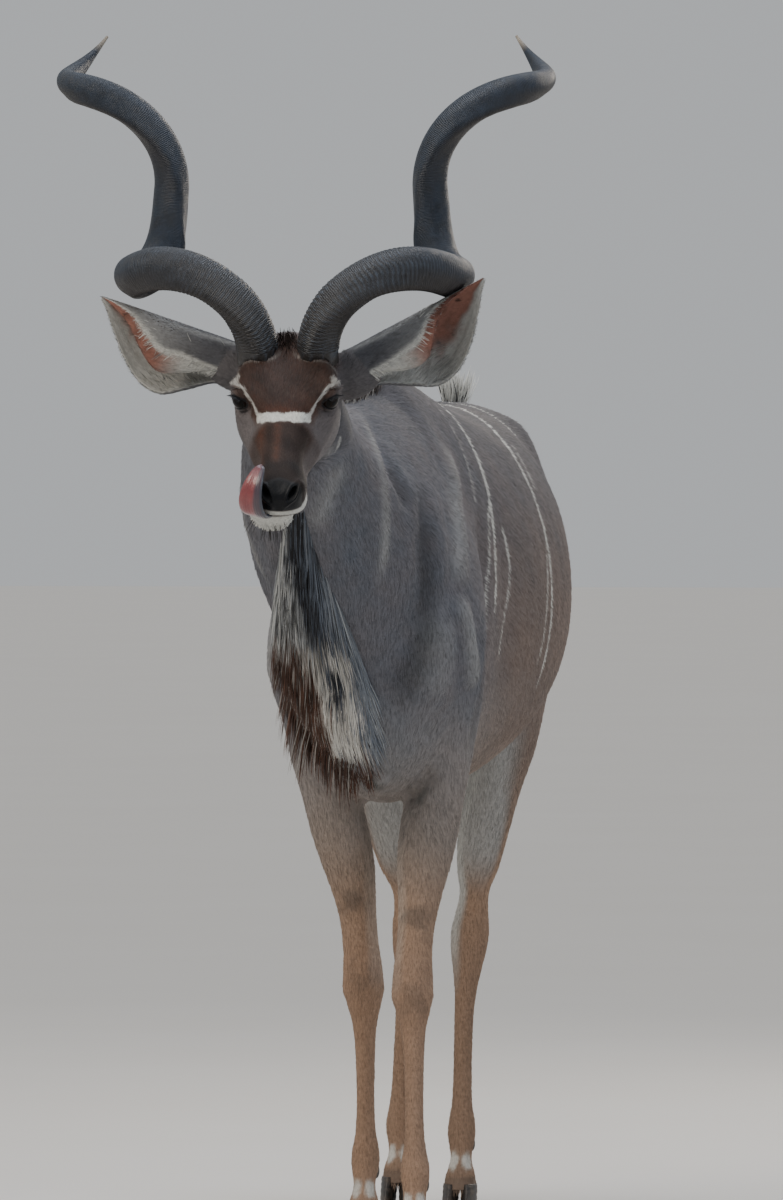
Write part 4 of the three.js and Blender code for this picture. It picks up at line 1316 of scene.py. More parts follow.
def look(place: Array, target: Array) -> tuple:
    """The rotation that points a camera or lamp from a place to a target."""
    way = target - place
    return (math.atan2(math.hypot(way[0], way[1]), -way[2]), 0, math.atan2(-way[0], way[1]))


# Finishes


def linear(colour: str) -> tuple:
    """A hex colour as linear red, green, blue and 1."""
    parts = [int(colour[i : i + 2], 16) / 255 for i in (1, 3, 5)]
    return tuple(p / 12.92 if p <= 0.04045 else ((p + 0.055) / 1.055) ** 2.4 for p in parts) + (1.0,)


class Finish:
    """The nodes of one material, round its surface shader."""

    def __init__(self, name: str) -> None:
        """Starts a material.

        Args:
            name: What the real material is.
        """
        self.made = bpy.data.materials.new(name)
        self.made.use_nodes = True
        self.tree = self.made.node_tree
        self.object_place = None

    def add(self, kind: str, inputs: dict | None = None, **settings: object) -> bpy.types.NodeOutputs:
        """Adds a node with its settings, values and links.

        Args:
            kind: The node's type, without the part that all share.
            inputs: Values or sockets by the name or number of the input.
            **settings: The node's own settings.

        Returns:
            What comes out of the node.
        """
        node = self.tree.nodes.new("ShaderNode" + kind)
        for name, value in settings.items():
            setattr(node, name, value)
        self.feed(node, inputs or {})
        return node.outputs

    def feed(self, node: bpy.types.Node, inputs: dict) -> None:
        """Gives a node its values and links, by the name or number of the input."""
        for name, value in inputs.items():
            if isinstance(value, bpy.types.NodeSocket):
                self.tree.links.new(value, node.inputs[name])
            else:
                node.inputs[name].default_value = value

    def layer(self, name: str) -> list[bpy.types.NodeSocket]:
        """The four numbers that paint keeps under a name."""
        kept = self.add("Attribute", attribute_name=name)
        return [*self.add("SeparateColor", {0: kept["Color"]}), kept["Alpha"]]

    def place(self) -> bpy.types.NodeSocket:
        """Where each point lies on its object, in metres."""
        if self.object_place is None:
            self.object_place = self.add("TexCoord")["Object"]
        return self.object_place

    def noise(self, scale: float, detail: float) -> bpy.types.NodeSocket:
        """Cloudy numbers from 0 to 1, with about so many patches a metre."""
        return self.add("TexNoise", {"Vector": self.place(), "Scale": scale, "Detail": detail})["Fac"]

    def spread(self, value: bpy.types.NodeSocket, *ends: float) -> bpy.types.NodeSocket:
        """A number moved from the range of the first two ends to that of the last two, or to 0 to 1."""
        return self.add("MapRange", {"Value": value, **dict(enumerate(ends, 1))})[0]

    def maths(self, operation: str, *values: object) -> bpy.types.NodeSocket:
        """A sum of numbers."""
        return self.add("Math", dict(enumerate(values)), operation=operation)[0]

    def mix(self, share: bpy.types.NodeSocket, first: object, second: object) -> bpy.types.NodeSocket:
        """A share of the second colour over the first, each as hex, as linear numbers or as a socket."""
        first, second = (linear(tone) if isinstance(tone, str) else tone for tone in (first, second))
        return self.add("Mix", {0: share, 6: first, 7: second}, data_type="RGBA")[2]

    def scaled(self, colour: bpy.types.NodeSocket, level: bpy.types.NodeSocket) -> bpy.types.NodeSocket:
        """A colour made lighter or darker."""
        return self.add("VectorMath", {0: colour, "Scale": level}, operation="SCALE")[0]

    def done(self, inputs: dict, relief: tuple | None = None) -> bpy.types.Material:
        """Feeds the surface shader.

        Args:
            inputs: Its values and links by name.
            relief: A height, how strongly it shows and how deep it is in metres, for a rough surface.

        Returns:
            The material.
        """
        if relief:
            bump = self.add("Bump", dict(zip(("Height", "Strength", "Distance"), relief)))
            inputs = {**inputs, "Normal": bump[0]}
        self.feed(self.tree.nodes["Principled BSDF"], inputs)
        return self.made


@dataclass(frozen=True)
class CoatFinish:
    """Short hair, or long hair, over hide: the same colours and markings on skin and tufts."""

    name: str
    hair: bool
    base: str = "#4e4b4b"
    # Grey hair, tinted bluish with painted sky light
    grey: str = "#565d67"
    warm: str = "#a18166"
    rufous: str = "#54301f"
    dark: str = "#120e0d"
    pale: str = "#c3c3bd"
    bare: str = "#090b0f"

    def material(self) -> bpy.types.Material:
        """Builds the material."""
        coat = Finish(self.name)
        *tints, tip = coat.layer("coat_tint")
        *marks, chance = coat.layer("coat_mark")
        colour: object = self.base
        tones = (self.grey, self.warm, self.rufous, self.dark, self.pale, self.bare)
        for share, tone in zip(tints + marks, tones):
            colour = coat.mix(share, colour, tone)
        # Flecks of lighter and darker hair, about 5 mm long
        level = coat.spread(coat.noise(190.0, 3.0), 0.25, 0.75, 0.88, 1.12)
        if self.hair:
            each, tips = coat.spread(chance, 0, 1, 0.7, 1.3), coat.spread(tip, 0, 1, 0.78, 1.2)
            level = coat.maths("MULTIPLY", coat.maths("MULTIPLY", each, tips), level)
        # Hair scatters light softly, and the bare nose is wet
        shader = {
            "Base Color": coat.scaled(colour, level),
            "Roughness": coat.spread(marks[2], 0, 1, 0.66 if self.hair else 0.8, 0.38),
            "Specular IOR Level": 0.18,
            "Sheen Weight": 0.04,
            "Sheen Roughness": 0.5,
        }
        return coat.done(shader, None if self.hair else (coat.noise(520.0, 2.0), 0.5, 0.0012))


@dataclass(frozen=True)
class HornFinish:
    """Keratin, grown in rings and rubbed smooth towards the pale tip."""

    base: str = "#302f2f"
    body: str = "#0c1826"
    high: str = "#424e5c"
    tip: str = "#8f8678"
    under: str = "#1d1713"

    def material(self) -> bpy.types.Material:
        """Builds the material."""
        horn = Finish("horn keratin")
        share, _, wave, _ = horn.layer("horn_place")
        streak = horn.noise(60.0, 6.0)
        colour = horn.mix(horn.spread(share, 0.03, 0.3), self.base, self.body)
        # Painted highlight: streaks over the raised crests of the rings turn bluish grey
        worn = horn.maths("MULTIPLY", horn.spread(wave, 0.45, 0.8, 0.0, 0.9), streak)
        colour = horn.mix(worn, colour, self.high)
        colour = horn.mix(horn.spread(share, 0.965, 0.995), colour, self.tip)
        # Painted shade: the faces that look down are darkened to brown
        level = horn.add("SeparateXYZ", {0: horn.add("NewGeometry")["Normal"]})[2]
        colour = horn.mix(horn.spread(level, 0.05, -0.6, 0.0, 0.75), colour, self.under)
        lit = horn.scaled(colour, horn.spread(streak, 0.3, 0.7, 0.7, 1.35))
        rough = horn.spread(streak, 0.3, 0.7, 0.38, 0.58)
        # Growth lines 3 mm apart, wavy, drawn on the length of the horn
        turns = horn.maths("MULTIPLY", share, 2700.0)
        phase = horn.maths("MULTIPLY_ADD", horn.noise(32.0, 3.0), 22.0, turns)
        height = horn.maths("MULTIPLY_ADD", horn.maths("SINE", phase), 0.3, horn.noise(420.0, 4.0))
        return horn.done({"Base Color": lit, "Roughness": rough}, (height, 0.8, 0.0014))


@dataclass(frozen=True)
class EyeFinish:
    """A wet eye: dark brown iris with a level pupil under a clear cornea."""

    iris: str = "#160c08"
    rim: str = "#070504"
    white: str = "#2a1c16"
    pupil: tuple = (0.002, 0.002, 0.003, 1)

    def material(self) -> bpy.types.Material:
        """Builds the material."""
        eye = Finish("wet eye")
        pupil, edge, outer, _ = eye.layer("eye_place")
        colour = eye.mix(pupil, eye.mix(outer, eye.mix(edge, self.iris, self.rim), self.white), self.pupil)
        return eye.done({"Base Color": colour, "Roughness": 0.06, "IOR": 1.2})


@dataclass(frozen=True)
class TongueFinish:
    """Wet flesh: pink along the middle, slate blue at rim and tip."""

    pink: str = "#8a3f40"
    deep: str = "#6c282d"
    rim: str = "#2c303c"

    def material(self) -> bpy.types.Material:
        """Builds the material."""
        tongue = Finish("wet tongue")
        across, rim, _, _ = tongue.layer("tongue_place")
        flesh = tongue.mix(tongue.noise(130.0, 4.0), self.pink, self.deep)
        # Furrows 2 mm apart along the tongue
        furrows = tongue.maths("SINE", tongue.maths("MULTIPLY", across, 62.0))
        height = tongue.maths("MULTIPLY_ADD", furrows, 0.35, tongue.noise(900.0, 2.0))
        shader = {
            "Base Color": tongue.mix(rim, flesh, self.rim),
            "Roughness": 0.28,
            "Subsurface Weight": 0.15,
            "Subsurface Radius": (0.004, 0.0015, 0.001),
            "Coat Weight": 0.6,
            "Coat Roughness": 0.12,
        }
        return tongue.done(shader, (height, 0.5, 0.0008))


@dataclass(frozen=True)
class HoofFinish:
    """Hoof horn, grown in level rings and scuffed by the ground."""

    dark: str = "#26221f"
    worn: str = "#564a3f"

    def material(self) -> bpy.types.Material:
        """Builds the material."""
        hoof = Finish("hoof horn")
        scuff = hoof.noise(90.0, 6.0)
        low = hoof.spread(hoof.add("SeparateXYZ", {0: hoof.place()})[2], 0.03, 0.0)
        share = hoof.spread(hoof.maths("MULTIPLY_ADD", low, 0.25, scuff), 0.45, 0.85)
        rough = hoof.spread(scuff, 0, 1, 0.35, 0.6)
        colour = hoof.mix(share, self.dark, self.worn)
        return hoof.done({"Base Color": colour, "Roughness": rough}, (scuff, 0.3, 0.001))


@dataclass(frozen=True)
class FloorFinish:
    """Matt painted board, very slightly uneven."""

    tone: str = "#d2d0cd"
    other: str = "#cecbc7"

    def material(self) -> bpy.types.Material:
        """Builds the material."""
        floor = Finish("painted floor")
        colour = floor.mix(floor.noise(1.4, 4.0), self.tone, self.other)
        return floor.done({"Base Color": colour, "Roughness": 0.7})


# Markings


@dataclass
class Stripe:
    """A white line down the flank."""

    line: list
    half_width: float
    strength: float = 1.0

    def path(self) -> Array:
        """The line with its bends softened."""
        line = np.asarray(self.line, float)
        for _ in range(2):
            line[1:-1, 1] = (line[:-2, 1] + 2 * line[1:-1, 1] + line[2:, 1]) / 4
        for _ in range(2):
            cut = np.stack([0.75 * line[:-1] + 0.25 * line[1:], 0.25 * line[:-1] + 0.75 * line[1:]], 1)
            line = np.concatenate([line[:1], cut.reshape(-1, 3), line[-1:]])
        return line


STRIPES = [
    Stripe([(0, 405, 1424), (70, 382, 1396), (102, 362, 1368), (129, 333, 1321), (149, 338, 1282),
            (161, 318, 1241), (169, 300, 1208), (174, 293, 1174), (179, 281, 1141), (180, 254, 1091),
            (178, 220, 1042)], 4.2),
    Stripe([(161, 318, 1241), (163, 280, 1208), (169, 242, 1142), (171, 214, 1092),
            (178, 150, 1012)], 2.6, 0.8),
    Stripe([(180, 336, 1194), (191, 351, 1157), (198, 340, 1107), (196, 313, 1057), (187, 272, 1008),
            (180, 254, 975)], 2.7, 0.85),
    Stripe([(0, 842, 1402), (49, 811, 1396), (94, 714, 1376), (133, 632, 1349), (164, 590, 1314),
            (190, 576, 1272), (214, 560, 1221), (230, 553, 1162), (237, 540, 1103), (239, 531, 1036),
            (230, 512, 977), (214, 518, 918)], 4.6),
    Stripe([(223, 555, 1187), (232, 525, 1137), (234, 505, 1070), (228, 485, 1003),
            (222, 478, 961)], 2.5, 0.6),
    Stripe([(154, 671, 1330), (181, 620, 1297), (203, 600, 1255)], 2.6, 0.5),
    Stripe([(30, 300, 1432), (108, 296, 1348), (130, 262, 1292), (142, 240, 1230)], 2.6, 0.35),
    Stripe([(0, 905, 1406), (90, 884, 1385), (170, 866, 1318), (214, 852, 1230), (228, 838, 1130),
            (222, 828, 1040)], 4.4),
    Stripe([(0, 1000, 1405), (95, 992, 1378), (160, 984, 1300), (192, 974, 1200), (192, 962, 1100)], 4.2),
    Stripe([(0, 1092, 1395), (90, 1086, 1352), (140, 1080, 1270), (162, 1070, 1180)], 4.0, 0.9),
]

# White bars before and over the eyes, on one half of the face: x, y, z in the head's frame
CHEVRON = [
    (0, -243, 50), (20, -242, 49), (41, -236, 45), (47, -222, 46), (52, -206, 50), (60, -189, 56),
    (68, -173, 63), (77, -165, 62),
]


@dataclass
class Marks:
    """How much of each colour every place has: grey, warm, rufous; dark, pale, bare."""

    grey: Array
    warm: Array
    rufous: Array
    dark: Array
    pale: Array
    bare: Array

    @staticmethod
    def of(count: int, **amounts: object) -> "Marks":
        """Marks for so many places, with nothing of a colour that isn't named."""
        return Marks(**{part.name: np.zeros(count) + amounts.get(part.name, 0) for part in fields(Marks)})

    def darken(self, amount: Array) -> None:
        """Makes places at least so dark."""
        self.dark = np.maximum(self.dark, amount)

    def whiten(self, amount: Array) -> None:
        """Makes places at least so pale."""
        self.pale = np.maximum(self.pale, amount)

    def dye(self, piece: bpy.types.Object, strand: Array, chance: Array) -> None:
        """Paints a piece in two layers of four numbers, with as many corners for each place.

        Args:
            piece: The piece.
            strand: How far along the hair each corner of a place is.
            chance: One number a place, by which its shade varies.
        """
        for name, parts, last in (
            ("coat_tint", (self.grey, self.warm, self.rufous), np.tile(strand, len(chance))),
            ("coat_mark", (self.dark, self.pale, self.bare), np.repeat(chance, len(strand))),
        ):
            layer = np.column_stack([np.repeat(np.stack(parts, 1), len(strand), 0), last])
            paint(piece, name, layer.clip(0, 1))

    def dye_skin(self, piece: bpy.types.Object) -> None:
        """Paints skin, which is as dark as the ends of its hair."""
        self.dye(piece, np.ones(1), np.full(len(self.dark), 0.5))


def marks_at(points: Array, facing: Array) -> Marks:
    """The animal's colouring at places on its skin.

    Args:
        points: Places in millimetres.
        facing: The direction that the skin faces there.

    Returns:
        The marks.
    """
    x, y, z = points.T
    rough = wobble(points, 26, 11)
    soft = wobble(points, 150, 12)
    fine = wobble(points, 9, 13)
    trunk = step(-60, 460, y)
    leg = step(900, 590, z)
    grey = 0.4 + 0.55 * (1 - trunk) + 0.35 * step(1150, 1400, z) * trunk + 0.05 * soft
    grey = grey * (1 - leg)
    tan = step(700, 460, z)
    warm = 0.1 + 0.2 * trunk * step(1300, 950, z) + 0.25 * leg + 0.55 * tan + 0.03 * soft + 0.015 * rough
    rufous = 0.3 * step(640, 450, z)
    # Painted shade on the skin that faces up, from the base of the neck back, and a darker line along the
    # middle of the back
    dark = 0.32 * step(0.2, 0.9, facing[:, 2]) * step(-150, 60, y) + 0.15 * trunk * step(60, 10, np.abs(x))
    dark = dark + 0.14 * step(700, 900, y) * tan
    pale = 0.07 * leg + 0.13 * step(980, 800, z) * step(560, 720, z) * step(500, 300, y)
    marks = Marks.of(len(points), grey=grey, warm=warm, rufous=rufous, dark=dark, pale=pale)

    # Stripes, uneven along their edges
    half = np.stack([np.abs(x), y, z], 1)
    outward = to_left_half(facing, x)
    body = (z > 880) & (y > 150) & (outward[:, 0] > -0.2)
    for i, stripe in enumerate(STRIPES):
        shift = np.where(x < 0, 9 * math.sin(3.1 * i + 1), 0)
        path = stripe.path()
        near = np.nonzero(body & (np.abs(y + shift - path[:, 1].mean()) < np.ptp(path[:, 1]) / 2 + 70))[0]
        gap, share = polyline_gap(half[near] + np.outer(shift[near], Y), path, outward[near])
        width = stripe.half_width * (1 + 0.18 * fine[near] + 0.12 * rough[near]) * step(1.0, 0.86, share)
        line = stripe.strength * step(width + 1.4, width - 1.4, gap)
        marks.pale[near] = np.maximum(marks.pale[near], line)

    # Painted shade darkens the hair in the folds, and painted highlight lightens it over the ridges
    place = np.stack([middle_of(points) + np.abs(x - middle_of(points)), y, z], 1)
    for fold in FOLDS:
        gap, share = polyline_gap(place if fold.both else points, fold.line)
        amount = bell(gap, 0, fold.width) * fold.fade(share)
        if fold.depth > 0:
            marks.darken(min(0.042 * fold.depth, 0.6) * amount)
        else:
            marks.whiten(0.28 * min(1, 20 / fold.width) * amount)

    # Painted shade in the creases of the armpit and under the brisket
    armpit, brisket = [(61, 43, 758), (69, 37, 748), (76, 34, 765)], [(4, -56, 776), (7, -3, 766)]
    for line, width in ((armpit, 9), (brisket, 10)):
        marks.darken(0.85 * bell(polyline_gap(points, line)[0], 0, 1.1 * width))

    # The pale throat behind the jaw
    gap, _ = polyline_gap(in_head(points), [(75, -61, -181), (61, -67, -215), (48, -75, -248)])
    marks.whiten(0.2 * bell(gap, 0, 26))

    # Inner faces of the legs, fronts of the hind thighs, backs of the shins and the belly
    hind = step(860, 960, y)
    inner = step(0.1, 0.75, -facing[:, 0] * np.sign(x)) * step(905, 800, z) * step(330, 520, z)
    marks.whiten(0.6 * inner * (0.35 + 0.65 * hind))
    front_thigh = hind * step(0.2, 0.8, -facing[:, 1]) * step(900, 800, z) * step(520, 640, z)
    marks.whiten(0.42 * front_thigh)
    cold = np.maximum(inner * hind, front_thigh)
    marks.warm = warm * (1 - 0.75 * cold)
    marks.grey = np.maximum(grey, 0.6 * cold)
    shin_back = step(0.25, 0.8, facing[:, 1]) * step(420, 360, z) * step(60, 120, z)
    marks.whiten(0.35 * shin_back)
    under = step(-0.35, -0.8, facing[:, 2]) * step(860, 800, z) * step(250, 420, y)
    marks.whiten(0.1 * under)

    # Dark garters over the knees, dark knees, and white spots above the hooves
    for middle, size, amount in (
        ((68, 2, 556), (26, 34, 17), 0.45),
        ((60, 20, 520), (20, 30, 10), 0.25),
        ((-56, 128, 572), (26, 34, 18), 0.45),
        ((70, -40, 425), (24, 26, 30), 0.25),
        ((-42, 160, 445), (24, 26, 30), 0.25),
        ((36, 1040, 470), (26, 32, 30), 0.22),
        ((-86, 1180, 470), (26, 32, 30), 0.22),
    ):
        reach = np.linalg.norm((points - middle) / size, axis=1) + 0.3 * rough + 0.2 * fine
        marks.darken(amount * step(1.5, 0.35, reach))
    for line in LINES.values():
        (px, py), (fx, fy) = line_at(line, np.array([98.0, 150.0]))
        for sx in (-1, 1):
            spot = np.linalg.norm((points - [px + sx * 14, py - 22, 92]) / [11, 16, 17], axis=1)
            marks.whiten(0.8 * step(1.3, 0.6, spot + 0.1 * fine))
        ring = step(74, 60, z) * (np.abs(y - py) < 90) * (np.abs(x - px) < 60)
        marks.darken(0.6 * ring)
        behind = step(0.3, 0.8, facing[:, 1]) * (np.abs(y - fy) < 90) * (np.abs(x - fx) < 60)
        marks.darken(0.7 * (bell(z, 132, 26) * behind))

    return face_marks(points, facing, marks)


def face_marks(points: Array, facing: Array, marks: Marks) -> Marks:
    """Adds the head's own colours.

    Args:
        points: Places in millimetres.
        facing: The direction that the skin faces there.
        marks: The marks of the body, which change.

    Returns:
        The marks.
    """
    h = in_head(points)
    head = step(26, -30, h[:, 1]) * step(-132, -112, h[:, 2]) * (points[:, 1] < -380)
    x, y, z = np.abs(h[:, 0]), h[:, 1], h[:, 2]
    mirrored = np.stack([x, y, z], 1)
    fine = wobble(h, 7, 21)
    rough = wobble(h, 22, 22)
    side_low = step(-5, -45, z)

    def tone(weight: Array | float, **values: Array | float) -> None:
        """Changes some of the marks towards values on the head."""
        for name, value in values.items():
            now = getattr(marks, name)
            setattr(marks, name, now + (value - now) * np.clip(weight, 0, 1) * head)

    root = step(54, 70, x) * step(-150, -90, y)
    tone(1, grey=0.5 + 0.2 * side_low - 0.25 * root, warm=0.14 - 0.1 * root)
    # Forehead from the horns down to the white bars, and the bridge of the nose below them
    fore = step(-250, -232, y) * step(-20, -60, y) * step(24, 46, z + 0.25 * rough * 6) * step(88, 72, x)
    tone(fore, dark=0.62 + 0.07 * rough - 0.22 * step(40, 6, x) * step(-205, -232, y),
        rufous=0.55 + 0.08 * fine + 0.35 * step(-190, -225, y), grey=0)
    bridge = step(-240, -262, y) * step(-24, 12, z) * step(60, 42, x)
    sunny = (0.75 * bell(h[:, 0], -8, 7) + bell(h[:, 0], -37, 9)) * step(-244, -262, y) * step(-375, -340, y)
    sunny = sunny * (1 + 0.2 * fine)
    tone(bridge, rufous=0.5 + 0.35 * sunny + 0.05 * rough,
        dark=0.78 - 0.5 * sunny + 0.05 * rough + 0.2 * step(-330, -380, y), grey=0)
    cheek = step(-236, -262, y) * step(22, -4, z) * step(-395, -350, y) * step(-60, -40, z)
    tone(cheek, rufous=0.3, dark=0.4 + 0.06 * rough + 0.36 * step(-300, -340, y),
        grey=0.35 * step(-330, -290, y))
    # Grey hair with a painted bluish sheen, on the cheek of the animal's left side only
    grey_hair_and_sheen = cheek * step(16, 34, h[:, 0]) * step(-345, -315, y)
    tone(grey_hair_and_sheen, rufous=0.12, dark=0.27 + 0.06 * rough, grey=0.5)
    # The dark patch below the cheekbone
    gap, _ = polyline_gap(mirrored, [(56, -300, -22), (62, -276, -20), (67, -252, -18)])
    tone(0.8 * step(11, 4, gap + 2 * fine), dark=0.8)
    muzzle = step(-350, -380, y) * step(-40, -22, z)
    tone(muzzle, dark=0.86 + 0.04 * rough, rufous=0.35)
    # White bars, then the pale patch over each eye
    outward = to_left_half(in_head(points + facing) - h, h[:, 0])
    gap, share = polyline_gap(mirrored, CHEVRON, outward)
    half = np.interp(share, [0, 0.1, 0.29, 0.4, 0.7, 1], [8.8, 11.5, 8.8, 2.6, 2.1, 2.5])
    width, strength = half * (1 + 0.12 * fine), np.interp(share, [0, 0.3, 0.42, 1], [1, 1, 0.62, 0.58])
    bars = step(width + 1.6, width - 1.2, gap) * (z > 20) * strength
    patch = step(1.15, 0.75, np.linalg.norm((mirrored - [78, -150, 60]) / [12, 15, 9], axis=1) + 0.1 * fine)
    white = np.maximum(bars, 0.5 * patch)
    # Lips, chin and the pale jaw
    lip = step(-362, -384, y) * step(-25, -21, z) * step(-8, -15, z) * step(60, 48, x)
    chin = step(-342, -372, y) * step(-31, -37, z)
    jaw = step(-72, -88, z + 0.16 * (y + 200)) * step(-335, -310, y) * step(-60, -110, y)
    line = [(44, -352, -34), (50, -312, -38), (58, -270, -46), (66, -225, -58), (74, -180, -72)]
    band, _ = polyline_gap(mirrored, line)
    lower = step(14, 6, band + 2 * rough) * 0.85
    edge, _ = polyline_gap(mirrored, [(80, -62, -101), (73, -71, -122), (68, -75, -142)])
    lower = np.maximum(lower, 0.55 * step(4.6, 1.8, edge + 1.2 * fine))
    horn = np.linalg.norm((mirrored - [49, -72, 66]) / [1, 1, 1.6], axis=1)
    fringe = 0.24 * bell(horn, 41, 2.6) * step(-84, -104, y)
    white = np.maximum.reduce([white, 0.9 * lip, 0.95 * chin, 0.55 * jaw, lower, fringe])
    tone(white, dark=0.15)
    tone(1, pale=white)
    # Bare black skin: nose pad, nostrils, lids and the edges of the lips
    pad = step(-398, -408, y + 0.35 * (x - 14)) * step(-16, -11, z) * step(42, 34, x)
    reach = np.minimum(Nostril(1).reach(h), Nostril(-1).reach(h))
    # The dark band along the lips is the bare lip edge, widened with painted shade for the gap of the mouth
    lips = bell(z, -28, 3.8) * step(-318, -330, y)
    views = [eye_view(h, s) for s, _ in SIDES]
    rims = np.maximum.reduce([bell(Lids().reach(view), 1.04, 0.17) for view in views])
    inside = np.maximum.reduce([step(1.0, 0.9, Lids().reach(view)) for view in views])
    near = np.maximum.reduce([(view[:, 2] > 2) * 1.0 for view in views])
    bare = np.maximum.reduce([pad, step(1.3, 1.0, reach), 0.9 * lips, near * rims, near * inside])
    tone(1, bare=bare)
    tone(bare, pale=0)
    tone(step(0.85, 0.4, reach), dark=1)
    return marks


# Coat


class Region(Enum):
    """Regions of the coat, each its own pieces."""

    TRUNK = "trunk"
    NECK = "neck"
    HEAD = "head"
    FORELEGS = "forelegs"
    HINDLEGS = "hindlegs"


def region_of(points: Array) -> Array:
    """Which region of the coat places belong to, as numbers in the order of Region."""
    h = in_head(points)
    x, y, z = points.T
    before = -0.93 * (h[:, 1] - 22) + 0.366 * (h[:, 2] + 20) > 0
    kind = np.zeros(len(points), int)
    kind[y < -55] = 1
    kind[(y < -300) & before & (h[:, 2] > -122)] = 2
    kind[(z < 745) & (y < 600) & (y > -150)] = 3
    kind[(z < 812) & (y > 925) & ~((np.abs(x) < 45) & (y < 1040) & (z > 768))] = 4
    return kind


def lie_of(points: Array) -> Array:
    """The direction in which the hair lies, before it is laid flat on the skin.

    Args:
        points: Places on the skin.

    Returns:
        One direction a place.
    """
    h = in_head(points)
    x, y, z = points.T
    one = np.ones_like(x)
    way = np.stack([0 * x, 0.75 * one, -0.66 * one], 1)
    chest = step(120, -60, y) * step(1250, 1050, z)
    way = blend(way, np.stack([0 * x, 0.2 * one, -one], 1), chest)
    legs = step(960, 720, z)
    way = blend(way, np.stack([0 * x, 0.12 * one, -one], 1), legs)
    neck = step(60, -120, y) * (1 - chest)
    way = blend(way, np.stack([0.1 * one, 0.8 * one, -0.62 * one], 1), neck)
    head = step(30, -40, h[:, 1]) * step(-150, -118, h[:, 2]) * (y < -300)
    face = head_way(np.stack([0.25 * np.sign(h[:, 0]) * step(0, 40, np.abs(h[:, 0])), one, -0.1 * one], 1))
    way = blend(way, face, head)
    tail = (y > 1340) * 1.0
    way = blend(way, np.stack([0 * x, 0.1 * one, -one], 1), tail)
    drift = 0.16 * wobble(points, 120, 31)
    way[:, 0] += drift
    way[:, 2] += 0.1 * wobble(points, 90, 32)
    return way


@dataclass
class Tufts:
    """Short tufts over the skin of one region."""

    region: Region
    spacing: float
    length: float
    width: float
    thick: float
    rise: float  # how far a tip stands off the skin, as a share of the length


TUFTS = [
    Tufts(Region.TRUNK, 4.7, 15.0, 1.95, 0.5, 0.1),
    Tufts(Region.NECK, 4.5, 15.0, 1.95, 0.5, 0.1),
    Tufts(Region.HEAD, 2.45, 6.5, 1.2, 0.3, 0.14),
    Tufts(Region.FORELEGS, 3.7, 11.0, 1.6, 0.4, 0.12),
    Tufts(Region.HINDLEGS, 3.9, 11.5, 1.7, 0.4, 0.12),
]
MOST_TRIANGLES = 190000
TUFT_TRIANGLES = 4
HOOF_TOP = 60.0  # no short coat grows below this height


class Surface:
    """A finished piece, read as triangles that hair can grow on."""

    def __init__(self, piece: bpy.types.Object) -> None:
        """Reads the piece.

        Args:
            piece: The skin or an ear.
        """
        self.points = points_of(piece)
        self.normals = normals_of(piece)
        mesh = piece.data
        mesh.calc_loop_triangles()
        self.triangles = read(mesh.loop_triangles, "vertices", 3)
        a, b, c = (self.points[self.triangles[:, k]] for k in range(3))
        self.middles = (a + b + c) / 3
        self.areas = np.linalg.norm(np.cross(b - a, c - a), axis=1) / 2

    def roots(self, density: Array, rng: np.random.Generator) -> tuple[Array, Array, Array, Array]:
        """Chance places on the piece.

        Args:
            density: How many hairs grow on each triangle.
            rng: Chance.

        Returns:
            Places, the directions that the surface faces there, and the three corners round each with their
            weights.
        """
        total = max(1, int(density.sum()))
        spots = (np.arange(total) + rng.random(total)) * density.sum() / total
        chosen = np.searchsorted(np.cumsum(density), spots)
        chosen = np.minimum(chosen, len(density) - 1)
        u, v = rng.random((2, total))
        flip = u + v > 1
        u, v = np.where(flip, 1 - u, u), np.where(flip, 1 - v, v)
        weights = np.stack([1 - u - v, u, v], 1)[..., None]
        corner = self.triangles[chosen]
        place = (self.points[corner] * weights).sum(1)
        return place, unit((self.normals[corner] * weights).sum(1)), corner, weights


